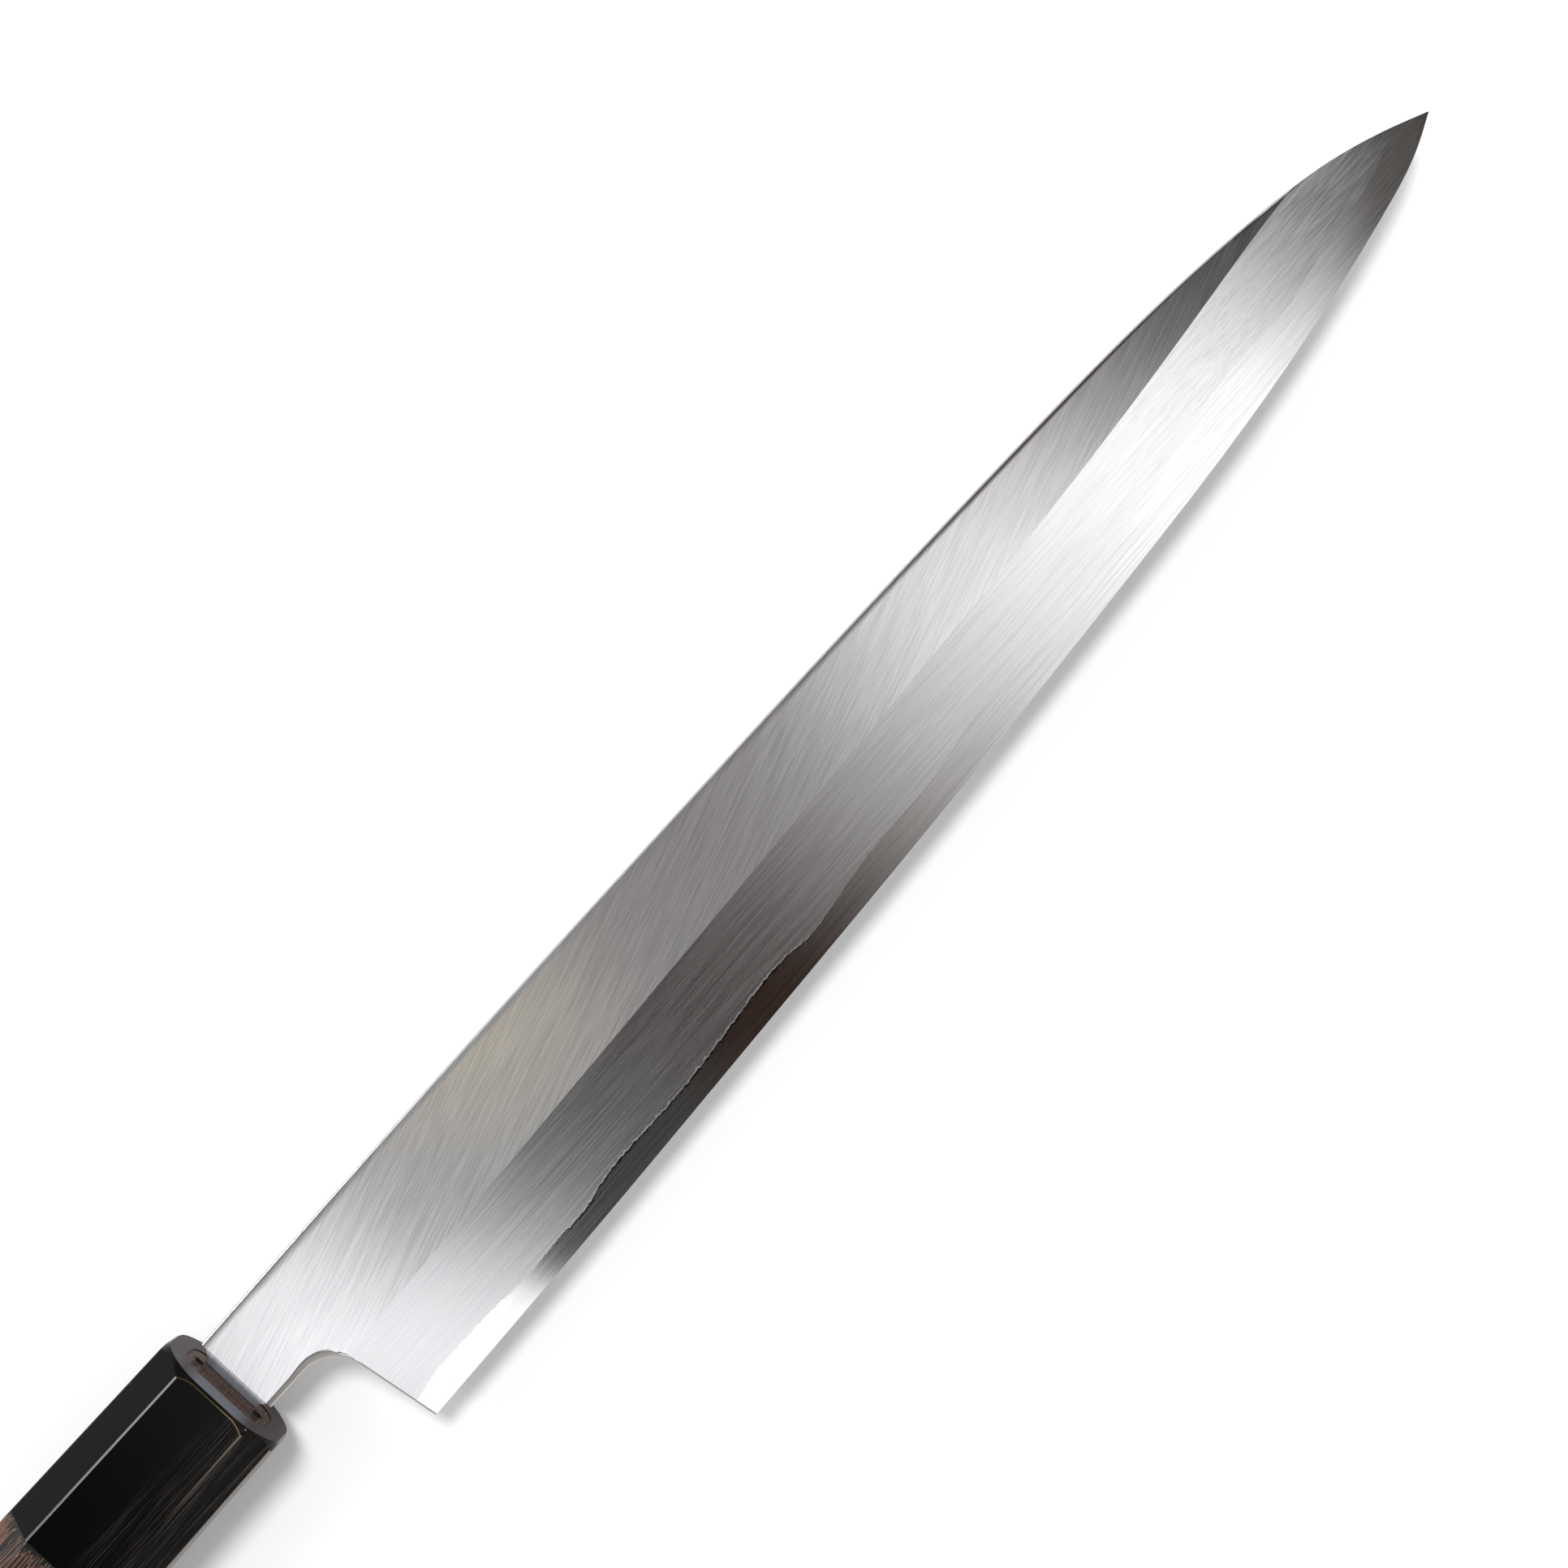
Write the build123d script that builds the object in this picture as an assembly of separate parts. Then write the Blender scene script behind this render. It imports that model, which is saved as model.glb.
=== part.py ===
from build123d import *
import math
import os

# Yanagiba: a single-bevel slicing knife with an eight-sided handle, laid flat with its bevel up.
# X runs from the butt to the tip, Y from the edge to the spine, Z up. Millimetres.
# While it is being made, the heel corner is at X 0, Y 0 and the handle's axis is at Z 0.

# Blade, seen from above
edge_length = 254.5            # heel corner to tip, along X
blade_height = 34.85           # heel corner to the straight stretch of the spine
shoulder_setback = 15.5        # heel corner back to the shoulders in front of the handle
spine_shoulder_step = 2.3      # shoulder on the spine side, down to the tang
edge_shoulder_step = 1.65      # shoulder on the edge side, up to the tang
choil_lean = 1.8               # how far the cut behind the heel leans back
choil_radius = 7.0             # round corner between the heel and the neck

# Blade, seen from the side
spine_thickness = 4.0          # at the shoulders
tip_thickness = 2.45           # of the flat above the bevel, carried on to the tip
edge_thickness = 0.12          # flat left along the cutting edge
spine_easing = 0.35            # rounding of the spine
neck_easing = 0.7              # rounding of the neck and the choil

# Edge steel, forge-welded under the soft iron
scarf_length = 9.0             # the steel thins out to nothing under the neck
scarf_setback = 3.0            # the scarf's thick end, behind the heel corner

# Hollow of the back, ground on a wheel
wheel_radius = 300.0
rim_width = 1.7                # flat rim left along the edge and the spine
hollow_heel_gap = 2.6          # flat left in front of the choil
hollow_tip_gap = 13.0          # flat left behind the tip

# Tang
tang_width = 10.6              # at the shoulders
tang_end_width = 5.0
tang_end_thickness = 2.2
tang_length = 98.0             # behind the shoulders
tang_tip_radius = 1.5

# Handle: ferrule and grip share one taper
shoulder_gap = 2.6             # shoulders to the front face of the ferrule
handle_length = 143.0
ferrule_length = 35.0
front_width = 23.2             # across the flats, along Y
front_thickness = 20.5         # across the flats, along Z
front_bevel = 4.95             # each leg of a 45 degree bevel
butt_width = 27.4
butt_thickness = 24.0
butt_bevel = 5.8
arris_radius = 0.5             # long edges between the flats
nose_inset = 0.3               # front face inside the flats
nose_slope = 1.6               # run along the axis for each millimetre outwards
butt_inset = 1.2               # end face inside the flats
butt_slope = 0.8

# Wooden tenon in the ferrule, slotted for the tang
tenon_width = 16.4
tenon_thickness = 10.6
tenon_depth = 30.0             # into the grip, behind the ferrule
tenon_recess = 0.15            # its end below the ferrule's front face
fit_gap = 0.05                 # glue line round the tenon and the tang
end_gap = 1.5                  # behind the tang and behind the tenon
relief_radius = 1.0            # small holes at both ends of the tang's slot
relief_step = 0.7              # their centres outside the tang
relief_depth = 6.0

overrun = 5.0                  # how far a cutter goes past what it cuts
halvings = 30                  # when a place on a line is looked up

# Outlines, as shares of the edge's length from the heel and of the blade's height.
# Each row of the bevel gives its place, the edge there and the ridge. The last ridges lie outside the blade.
spine_shares = [(0.12, 1.0), (0.37, 0.996), (0.55, 0.982), (0.69, 0.959), (0.79, 0.926), (0.87, 0.867),
                (0.93, 0.787), (0.97, 0.693)]
bevel_shares = [(0.0, 0.0, 0.474), (0.15, 0.027, 0.509), (0.3, 0.068, 0.549), (0.5, 0.13, 0.604),
                (0.65, 0.197, 0.657), (0.8, 0.286, 0.749), (0.88, 0.369, 0.809), (0.94, 0.452, 0.838),
                (0.98, 0.534, 0.865), (1.0, 0.601, 0.89)]
bevel_reach_share = 0.25       # how far the bevel's cutter goes past its borders
shoulder_height_share = 0.986
notch_share = 0.85             # round inner corner of a shoulder, of its step

# Depth of the hollow along its length, of its full depth
hollow_depth_shares = [(0.013, 0.44), (0.026, 0.75), (0.055, 0.98), (0.25, 0.89), (0.52, 0.72), (0.78, 0.445),
                       (0.91, 0.215), (0.975, 0.07)]

# Where the weld comes out on the bevel. The last place lies outside the spine.
weld_shares = [(0.0, 0.109), (0.02, 0.13), (0.04, 0.132), (0.074, 0.127), (0.114, 0.112), (0.13, 0.12),
               (0.156, 0.12), (0.169, 0.138), (0.194, 0.156), (0.223, 0.154), (0.248, 0.156), (0.283, 0.174),
               (0.308, 0.192), (0.328, 0.205), (0.355, 0.205), (0.367, 0.192), (0.385, 0.198), (0.407, 0.219),
               (0.427, 0.237), (0.447, 0.245), (0.476, 0.248), (0.506, 0.265), (0.526, 0.29), (0.546, 0.304),
               (0.571, 0.31), (0.6, 0.31), (0.625, 0.323), (0.645, 0.348), (0.665, 0.362), (0.69, 0.362),
               (0.71, 0.384), (0.734, 0.413), (0.759, 0.444), (0.784, 0.475), (0.814, 0.484), (0.844, 0.478),
               (0.868, 0.504), (0.893, 0.533), (0.918, 0.562), (0.943, 0.589), (0.963, 0.627), (0.981, 0.668),
               (1.0, 0.7)]

nose_round_share = 0.43        # corners of the front face, of the bevel's width
butt_round_share = 0.3
tenon_round_share = 0.34       # of its thickness

# Places that follow from the sizes
back_z = -spine_thickness / 2
spine_y = shoulder_height_share * blade_height
axis_y = spine_y - spine_shoulder_step - tang_width / 2
neck_y = axis_y - tang_width / 2 - edge_shoulder_step
shoulder_x = -shoulder_setback
tang_end_x = shoulder_x - tang_length
face_x = shoulder_x - shoulder_gap
joint_x = face_x - ferrule_length
butt_x = face_x - handle_length
tenon_end_x = joint_x - tenon_depth


def on_blade(shares):
    return [(along * edge_length, up * blade_height) for along, up in shares]


edge_points = on_blade((along, edge) for along, edge, ridge in bevel_shares)
ridge_points = on_blade((along, ridge) for along, edge, ridge in bevel_shares)
weld_points = on_blade(weld_shares)
tip = edge_points[-1]


def carry_up(outline):
    """A closed outline seen from above, carried through the whole thickness."""
    return extrude(Pos(0, 0, -2 * spine_thickness) * make_face(outline), amount=4 * spine_thickness)


def carry_across(outline):
    """A closed outline in X and Z, seen from the side, carried across the whole blade."""
    face = Pos(0, -blade_height, 0) * make_face(Plane.XZ * outline)
    return extrude(face, amount=3 * blade_height, dir=(0, 1, 0))


def flat_height(x):
    """Z of the flat above the bevel, which thins evenly towards the tip."""
    share = (x - shoulder_x) / (edge_length - shoulder_x)
    return back_z + spine_thickness + (tip_thickness - spine_thickness) * share


# Blade

def bar_outline():
    """The blade from above, with its neck carried back over the whole tang."""
    spine_corner = (shoulder_x, spine_y)
    choil_corner = (-choil_lean, neck_y)
    spine = Spline(spine_corner, *on_blade(spine_shares), tip)
    edge = Spline(*edge_points)
    rear = Polyline(spine_corner, (tang_end_x, spine_y), (tang_end_x, neck_y), choil_corner, (0, 0))
    face = make_face([spine, edge, rear])
    return fillet(face.vertices().sort_by_distance(Vector(*choil_corner))[0], choil_radius)


def forged_bar():
    """The outline at its thickness: a flat back, and an even taper to the tip."""
    past_tip, past_tang = edge_length + overrun, tang_end_x - overrun
    side = Polyline((past_tip, back_z), (past_tip, flat_height(past_tip)),
                    (past_tang, flat_height(past_tang)), (past_tang, back_z), close=True)
    return carry_up(bar_outline()) & carry_across(side)


def ease_edges(bar):
    """Round the upper edge of the spine, and of the neck and the choil."""
    flat = bar.faces().filter_by(GeomType.PLANE).sort_by(Axis.Z)[-1]
    bar = fillet([edge for edge in flat.edges() if edge.center().Y > spine_y - neck_easing], spine_easing)
    flat = bar.faces().filter_by(GeomType.PLANE).sort_by(Axis.Z)[-1]
    behind_heel = [edge for edge in flat.edges() if tang_end_x < edge.center().X < 0]
    return fillet([edge for edge in behind_heel if edge.center().Y < axis_y], neck_easing)


def shape_tang(bar):
    """File the shoulders, draw the tang down to its end and thin it on both sides."""
    for side, step in ((1, spine_shoulder_step), (-1, edge_shoulder_step)):
        root, end = axis_y + side * tang_width / 2, axis_y + side * tang_end_width / 2
        outside = axis_y + side * blade_height
        points = [(shoulder_x, outside), (shoulder_x, root), (tang_end_x, end), (tang_end_x - overrun, end),
                  (tang_end_x - overrun, outside)]
        notch = make_face(Polyline(*points, close=True))
        notch = fillet(notch.vertices().sort_by_distance(Vector(shoulder_x, root))[0], notch_share * step)
        bar -= carry_up(notch)
    for side, start in ((1, flat_height(shoulder_x)), (-1, back_z)):
        end = side * tang_end_thickness / 2
        outside = side * 2 * spine_thickness
        wedge = Polyline((shoulder_x, start), (tang_end_x, end), (tang_end_x - overrun, end),
                         (tang_end_x - overrun, outside), (shoulder_x, outside), close=True)
        bar -= carry_across(wedge)
    upright = bar.edges().filter_by(Axis.Z)
    at_end = upright.filter_by_position(Axis.X, tang_end_x - overrun, tang_end_x + overrun)
    return fillet(at_end, tang_tip_radius)


def carried_on(points):
    """A row of points with one more at each end, straight on past it."""
    return [points[0] + (points[0] - points[1]) * bevel_reach_share, *points,
            points[-1] + (points[-1] - points[-2]) * bevel_reach_share]


def bevel_cutter():
    """Everything above the bevel: a ruled face from the edge to the ridge, carried upwards."""
    feet = carried_on([Vector(x, y, back_z + edge_thickness) for x, y in edge_points])
    ridges = carried_on([Vector(x, y, flat_height(x)) for x, y in ridge_points])
    low = [foot + (foot - ridge) * bevel_reach_share for foot, ridge in zip(feet, ridges)]
    high = [ridge + (ridge - foot) * bevel_reach_share for foot, ridge in zip(feet, ridges)]
    bevel = Face.make_surface_from_curves(Spline(*low), Spline(*high))
    return extrude(bevel, amount=2 * spine_thickness, dir=(0, 0, 1))


def hollow_cutter():
    """The wheel's cut into the back: its depth along the blade, turned about the wheel's axis."""
    hollow_width = blade_height - 2 * rim_width
    full_depth = hollow_width ** 2 / (8 * wheel_radius)
    start, end = hollow_heel_gap, edge_length - hollow_tip_gap
    points = [(start + along * (end - start), depth * full_depth) for along, depth in hollow_depth_shares]
    heel_middle = Vector(0, blade_height / 2, back_z)
    run = Vector(*tip, back_z) - heel_middle
    plane = Plane(heel_middle, x_dir=run, z_dir=run.cross(Vector(0, 0, 1)))
    floor = Spline((start, 0), *points, (end, 0))
    skirt = Polyline((end, 0), (end, -overrun), (start, -overrun), (start, 0))
    profile = plane * make_face([floor, skirt])
    wheel = Axis(heel_middle - Vector(0, 0, wheel_radius), run)
    sweep = 2 * math.degrees(math.asin(blade_height / 2 / wheel_radius))
    return revolve(profile.rotate(wheel, -sweep / 2), wheel, sweep)


def height_across(line, x):
    """Y at X of a line that runs along the blade."""
    low, high = 0, 1
    for _ in range(halvings):
        middle = (low + high) / 2
        low, high = (middle, high) if (line @ middle).X < x else (low, middle)
    return (line @ low).Y


def below_weld():
    """Everything under the weld between iron and steel, seen from the side and carried along Y."""
    foot_z = back_z + edge_thickness
    edge, ridge = Spline(*edge_points), Spline(*ridge_points)
    heights = []
    for x, y in weld_points:
        edge_y, ridge_y = height_across(edge, x), height_across(ridge, x)
        heights.append((x, foot_z + (y - edge_y) / (ridge_y - edge_y) * (flat_height(x) - foot_z)))
    scarf_foot = (-scarf_setback - scarf_length, back_z)
    scarf_top = (-scarf_setback, heights[0][1])
    past_tip = (edge_length + overrun, heights[-1][1])
    weld = Spline(scarf_top, *heights, past_tip)
    rest = Polyline(past_tip, (past_tip[0], back_z - overrun), (scarf_foot[0], back_z - overrun), scarf_foot,
                    scarf_top)
    return carry_across(weld + rest)


def make_blade():
    blade = shape_tang(ease_edges(forged_bar())) - bevel_cutter() - hollow_cutter()
    weld = below_weld()
    return blade - weld, blade & weld


# Handle

def octagon(x, width, thickness, bevel, grow=0.0):
    """The eight corners of the handle's section at X, every side moved outwards by grow."""
    half_y, half_z = width / 2 + grow, thickness / 2 + grow
    leg = bevel + grow * (2 - math.sqrt(2))
    quarter = [(half_y - leg, half_z), (half_y, half_z - leg)]
    ring = (quarter + [(y, -z) for y, z in reversed(quarter)]
            + [(-y, -z) for y, z in quarter] + [(-y, z) for y, z in reversed(quarter)])
    return [Vector(x, axis_y + y, z) for y, z in ring]


def handle_corners(x):
    share = (face_x - x) / handle_length
    width = front_width + (butt_width - front_width) * share
    thickness = front_thickness + (butt_thickness - front_thickness) * share
    bevel = front_bevel + (butt_bevel - front_bevel) * share
    return octagon(x, width, thickness, bevel)


def handle_blank(near_x, far_x):
    """A length of the handle: eight planed flats between two ends, with their long edges broken."""
    near, far = handle_corners(near_x), handle_corners(far_x)
    outlines = [(near[i - 1], near[i], far[i], far[i - 1]) for i in range(len(near))]
    faces = [make_face(Polyline(*outline, close=True)).face() for outline in outlines + [near, far]]
    body = Solid(Shell(faces))
    between = body.edges().filter_by_position(Axis.X, far_x, near_x, inclusive=(False, False))
    return fillet(between, arris_radius)


def round_radius(bevel, share):
    """Corner radius that takes up the given share of a bevel from each of its ends."""
    return share * bevel * math.sqrt(2) / math.tan(math.radians(22.5))


def end_cone(x, toward, width, thickness, bevel, round_share, inset, slope):
    """A rounded eight-sided cone that widens from an end face, towards the other end of its piece."""
    radius = round_radius(bevel, round_share)
    faces = []
    for place, grow in ((x, -inset), (toward, abs(toward - x) / slope)):
        face = make_face(Polyline(*octagon(place, width, thickness, bevel, grow), close=True))
        faces.append(fillet(face.vertices(), radius + grow))
    return loft(faces, ruled=True)


def across_handle(x):
    """The plane across the handle's axis at X, with its own X along the width."""
    return Plane((x, axis_y, 0), x_dir=(0, 1, 0), z_dir=(1, 0, 0))


def block(near_x, far_x, near_size, far_size):
    """A block along the handle's axis that tapers between two rectangles."""
    sections = [across_handle(near_x) * Rectangle(*near_size), across_handle(far_x) * Rectangle(*far_size)]
    return loft(sections, ruled=True)


def tenon_bar(near_x, far_x, gap):
    """The tenon's rounded bar between two places, with a gap all round it."""
    radius = tenon_round_share * tenon_thickness + gap
    section = RectangleRounded(tenon_width + 2 * gap, tenon_thickness + 2 * gap, radius)
    return extrude(across_handle(far_x) * section, amount=near_x - far_x)


def tang_slot():
    near = (tang_width + 2 * fit_gap, spine_thickness + 2 * fit_gap)
    far = (tang_end_width + 2 * fit_gap, tang_end_thickness + 2 * fit_gap)
    return block(shoulder_x, tang_end_x - end_gap, near, far)


def relief_holes():
    step = tang_width / 2 + relief_step
    centres = [Plane((face_x, axis_y + side * step, 0), z_dir=(-1, 0, 0)) for side in (1, -1)]
    return Part() + [extrude(centre * Circle(relief_radius), amount=relief_depth) for centre in centres]


def make_ferrule():
    nose = end_cone(face_x, joint_x, front_width, front_thickness, front_bevel, nose_round_share, nose_inset,
                    nose_slope)
    return (handle_blank(face_x, joint_x) & nose) - tenon_bar(face_x + overrun, joint_x - overrun, fit_gap)


def make_tenon():
    bar = tenon_bar(face_x - tenon_recess, tenon_end_x, 0)
    return bar - tang_slot() - relief_holes()


def make_grip():
    butt = end_cone(butt_x, joint_x, butt_width, butt_thickness, butt_bevel, butt_round_share, butt_inset,
                    butt_slope)
    bore = tenon_bar(joint_x + overrun, tenon_end_x - end_gap, fit_gap)
    return (handle_blank(joint_x, butt_x) & butt) - bore - tang_slot()


def main():
    iron, steel = make_blade()
    parts = {"blade_iron": iron, "blade_edge_steel": steel, "ferrule": make_ferrule(),
             "handle_tenon": make_tenon(), "handle_grip": make_grip()}
    # Stand the knife on its lowest flat, with the origin under the middle of its box
    box = Compound(list(parts.values())).bounding_box()
    base = Vector(box.center().X, box.center().Y, box.min.Z)
    os.makedirs("parts", exist_ok=True)
    for name, solid in parts.items():
        placed = Pos(*(-base)) * solid
        print(f"{name}: {placed.volume:.0f} mm3, {len(placed.solids())} solid, valid {placed.is_valid}")
        export_step(placed, f"parts/{name}.step")


main()
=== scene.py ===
import math

import bmesh
import bpy
import numpy as np
from mathutils import Matrix, Vector


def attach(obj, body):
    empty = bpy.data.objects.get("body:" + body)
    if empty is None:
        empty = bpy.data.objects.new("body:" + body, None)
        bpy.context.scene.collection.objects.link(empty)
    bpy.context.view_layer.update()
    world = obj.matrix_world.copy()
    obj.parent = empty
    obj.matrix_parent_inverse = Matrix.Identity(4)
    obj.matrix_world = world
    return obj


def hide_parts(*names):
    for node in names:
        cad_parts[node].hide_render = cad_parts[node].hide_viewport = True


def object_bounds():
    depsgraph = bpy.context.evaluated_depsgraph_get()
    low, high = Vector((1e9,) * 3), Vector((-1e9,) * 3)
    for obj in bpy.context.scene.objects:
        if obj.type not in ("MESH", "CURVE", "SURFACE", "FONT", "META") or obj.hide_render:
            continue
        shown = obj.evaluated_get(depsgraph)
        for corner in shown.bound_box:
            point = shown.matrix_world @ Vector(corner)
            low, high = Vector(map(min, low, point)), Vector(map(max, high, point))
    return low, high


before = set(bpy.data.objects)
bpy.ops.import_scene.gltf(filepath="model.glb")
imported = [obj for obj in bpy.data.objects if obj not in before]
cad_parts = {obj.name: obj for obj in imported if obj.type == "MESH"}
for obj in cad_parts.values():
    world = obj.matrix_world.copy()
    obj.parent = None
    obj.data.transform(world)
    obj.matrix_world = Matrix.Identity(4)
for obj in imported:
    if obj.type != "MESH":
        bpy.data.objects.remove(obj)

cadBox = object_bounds()
mm = 0.001
scene = bpy.context.scene

# Where the drawing's own origin, the heel's corner at the height of the handle's axis, is in the row's frame.
# X runs from the butt to the tip, Y from the edge to the spine, Z up. Drawing sizes are in millimetres.
drawingOrigin = np.array([-46.700, -20.224, 11.988])


def toRow(points):
    return (np.asarray(points, float) + drawingOrigin) * mm


# Small helpers

def toLinear(hexColour):
    parts = [int(hexColour[i:i + 2], 16) / 255 for i in (1, 3, 5)]
    return tuple(p / 12.92 if p <= 0.04045 else ((p + 0.055) / 1.055) ** 2.4 for p in parts) + (1.0,)


# Adds a node and gives one of its outputs, or the node itself where output is None. A kind without Node in
# its name is a shader node. Inputs are in order or by name: values, hex colours or outputs of other nodes
def addNode(tree, kind, inputs=(), output=0, **settings):
    node = tree.nodes.new(kind if "Node" in kind else "ShaderNode" + kind)
    for name, value in settings.items():
        setattr(node, name, value)
    for name, value in (inputs if isinstance(inputs, dict) else dict(enumerate(inputs))).items():
        if isinstance(value, bpy.types.NodeSocket):
            tree.links.new(value, node.inputs[name])
        else:
            isColour = isinstance(value, str) and value.startswith("#")
            node.inputs[name].default_value = toLinear(value) if isColour else value
    return node if output is None else node.outputs[output]


# Settings that many nodes share
times, timesPlus, minus = {"operation": "MULTIPLY"}, {"operation": "MULTIPLY_ADD"}, {"operation": "SUBTRACT"}
largest, smooth = {"operation": "MAXIMUM"}, {"interpolation_type": "SMOOTHSTEP"}


def newMaterial(name):
    material = bpy.data.materials.new(name)
    material.use_nodes = True
    material.node_tree.nodes.clear()
    return material, material.node_tree


def newObject(name, data):
    made = bpy.data.objects.new(name, data)
    scene.collection.objects.link(made)
    return made


def openEdges(bm):
    return sum(1 for edge in bm.edges if len(edge.link_faces) != 2)


# Camera: the photograph looks down on the knife, with the blade up to the right

cameraSizes = {
    "imagePixels": 1932,
    "focalPixels": 3522,
    "middle": (62.53, 5.13, 13.4),    # point of the knife in the middle of the picture, in the row's frame
    "distance": 442.6,
    "tilt": 2.07,                     # degrees, towards the edge's side
    "roll": 48.0,                     # degrees, of the knife in the picture
    "filmWidth": 36.0,
    "clip": (0.01, 20.0),             # metres
}


def makeCamera(sizes):
    data = bpy.data.cameras.new("photoCamera")
    data.sensor_width = sizes["filmWidth"]
    data.lens = sizes["focalPixels"] / sizes["imagePixels"] * data.sensor_width
    data.clip_start, data.clip_end = sizes["clip"]
    camera = newObject("photoCamera", data)
    tilted = Matrix.Rotation(math.radians(sizes["tilt"]), 3, "X")
    aim = tilted @ Matrix.Rotation(math.radians(-sizes["roll"]), 3, "Z")
    place = Vector(sizes["middle"]) * mm + aim @ Vector((0, 0, sizes["distance"] * mm))
    camera.matrix_world = Matrix.Translation(place) @ aim.to_4x4()
    scene.camera = camera


makeCamera(cameraSizes)
print("camera placed")

# Blade: the drawing's own lines, sampled closely enough for smooth reflections

blade = {
    "edgeLength": 254.5, "height": 34.85, "shoulderX": -15.5, "spineStep": 2.3, "edgeStep": 1.65,
    "choilLean": 1.8, "choilRadius": 7.0, "thickness": 4.0, "tipThickness": 2.45, "edgeThickness": 0.12,
    "spineEasing": 0.35, "neckEasing": 0.7, "scarfLength": 9.0, "scarfSetback": 3.0,
    "wheelRadius": 300.0, "rimWidth": 1.7, "hollowHeelGap": 2.6, "hollowTipGap": 13.0,
    "tangWidth": 10.6, "tangEndWidth": 5.0, "tangEndThickness": 2.2, "tangLength": 98.0, "tangTipRadius": 1.5,
    "notchShare": 0.85, "shoulderShare": 0.986,
    "weldOverrun": 5.0,      # how far the weld's line runs past the tip
    "wobbleRise": 5.0,       # over how much of the length the weld's waves set in
    "rearReach": 2.0,        # how far in front of the heel's corner the rear edge is still rounded
}
# Shares of the edge's length and of the blade's height
spineShares = [(0.12, 1.0), (0.37, 0.996), (0.55, 0.982), (0.69, 0.959), (0.79, 0.926), (0.87, 0.867),
               (0.93, 0.787), (0.97, 0.693)]
bevelShares = [(0.0, 0.0, 0.474), (0.15, 0.027, 0.509), (0.3, 0.068, 0.549), (0.5, 0.13, 0.604),
               (0.65, 0.197, 0.657), (0.8, 0.286, 0.749), (0.88, 0.369, 0.809), (0.94, 0.452, 0.838),
               (0.98, 0.534, 0.865), (1.0, 0.601, 0.89)]
hollowShares = [(0.013, 0.44), (0.026, 0.75), (0.055, 0.98), (0.25, 0.89), (0.52, 0.72), (0.78, 0.445),
                (0.91, 0.215), (0.975, 0.07)]
weldShares = [(0.0, 0.109), (0.02, 0.13), (0.04, 0.132), (0.074, 0.127), (0.114, 0.112), (0.13, 0.12),
              (0.156, 0.12), (0.169, 0.138), (0.194, 0.156), (0.223, 0.154), (0.248, 0.156), (0.283, 0.174),
              (0.308, 0.192), (0.328, 0.205), (0.355, 0.205), (0.367, 0.192), (0.385, 0.198), (0.407, 0.219),
              (0.427, 0.237), (0.447, 0.245), (0.476, 0.248), (0.506, 0.265), (0.526, 0.29), (0.546, 0.304),
              (0.571, 0.31), (0.6, 0.31), (0.625, 0.323), (0.645, 0.348), (0.665, 0.362), (0.69, 0.362),
              (0.71, 0.384), (0.734, 0.413), (0.759, 0.444), (0.784, 0.475), (0.814, 0.484), (0.844, 0.478),
              (0.868, 0.504), (0.893, 0.533), (0.918, 0.562), (0.943, 0.589), (0.963, 0.627), (0.981, 0.668),
              (1.0, 0.7)]
# Fine unevenness of the forge weld: waves by length and height in mm, with where each starts in radians
weldWaves = [(4.7, 0.007, 0.3), (2.9, 0.008, 1.9), (1.7, 0.01, 4.0), (1.07, 0.012, 2.2), (0.73, 0.009, 5.1)]
raggedness = {"mm": (0, 90, 120), "share": (1, 1, 0.5)}

edgeLength, bladeHeight, shoulderX = blade["edgeLength"], blade["height"], blade["shoulderX"]
backZ = -blade["thickness"] / 2
edgeZ = backZ + blade["edgeThickness"]
spineY = blade["shoulderShare"] * bladeHeight
axisY = spineY - blade["spineStep"] - blade["tangWidth"] / 2
neckY = axisY - blade["tangWidth"] / 2 - blade["edgeStep"]
tangEndX = shoulderX - blade["tangLength"]
scarfEndX = -blade["scarfSetback"] - blade["scarfLength"]
tiny = 1e-6    # mm, so that rounding doesn't move a point past the scarf's end
axisRow = toRow([0, axisY, 0])


# A natural cubic spline through the points, by chord length
def splineThrough(points, steps=60):
    p = np.array(points, float)
    count = len(p)
    gaps = np.linalg.norm(np.diff(p, axis=0), axis=1)
    system, right = np.eye(count), np.zeros_like(p)
    for i in range(1, count - 1):
        system[i, i - 1:i + 2] = gaps[i - 1], 2 * (gaps[i - 1] + gaps[i]), gaps[i]
        right[i] = 6 * ((p[i + 1] - p[i]) / gaps[i] - (p[i] - p[i - 1]) / gaps[i - 1])
    bend = np.linalg.solve(system, right)
    pieces = []
    for i in range(count - 1):
        t = np.linspace(0, 1, steps, endpoint=False)[:, None]
        curve = ((1 - t) ** 3 - (1 - t)) * bend[i] + (t ** 3 - t) * bend[i + 1]
        pieces.append((1 - t) * p[i] + t * p[i + 1] + curve * gaps[i] ** 2 / 6)
    return np.vstack(pieces + [p[-1:]])


def onBlade(shares):
    return [(along * edgeLength, up * bladeHeight) for along, up in shares]


def carriedOn(points, share=0.25):
    p = [np.array(q, float) for q in points]
    return [p[0] + (p[0] - p[1]) * share] + p + [p[-1] + (p[-1] - p[-2]) * share]


def lineAt(line, x):
    return np.interp(x, line[:, 0], line[:, 1])


edgePoints = onBlade((along, edge) for along, edge, ridge in bevelShares)
ridgePoints = onBlade((along, ridge) for along, edge, ridge in bevelShares)
edgeLine = splineThrough(carriedOn(edgePoints))
ridgeLine = splineThrough(carriedOn(ridgePoints))
spineLine = splineThrough([(shoulderX, spineY)] + onBlade(spineShares) + [edgePoints[-1]])


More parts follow.
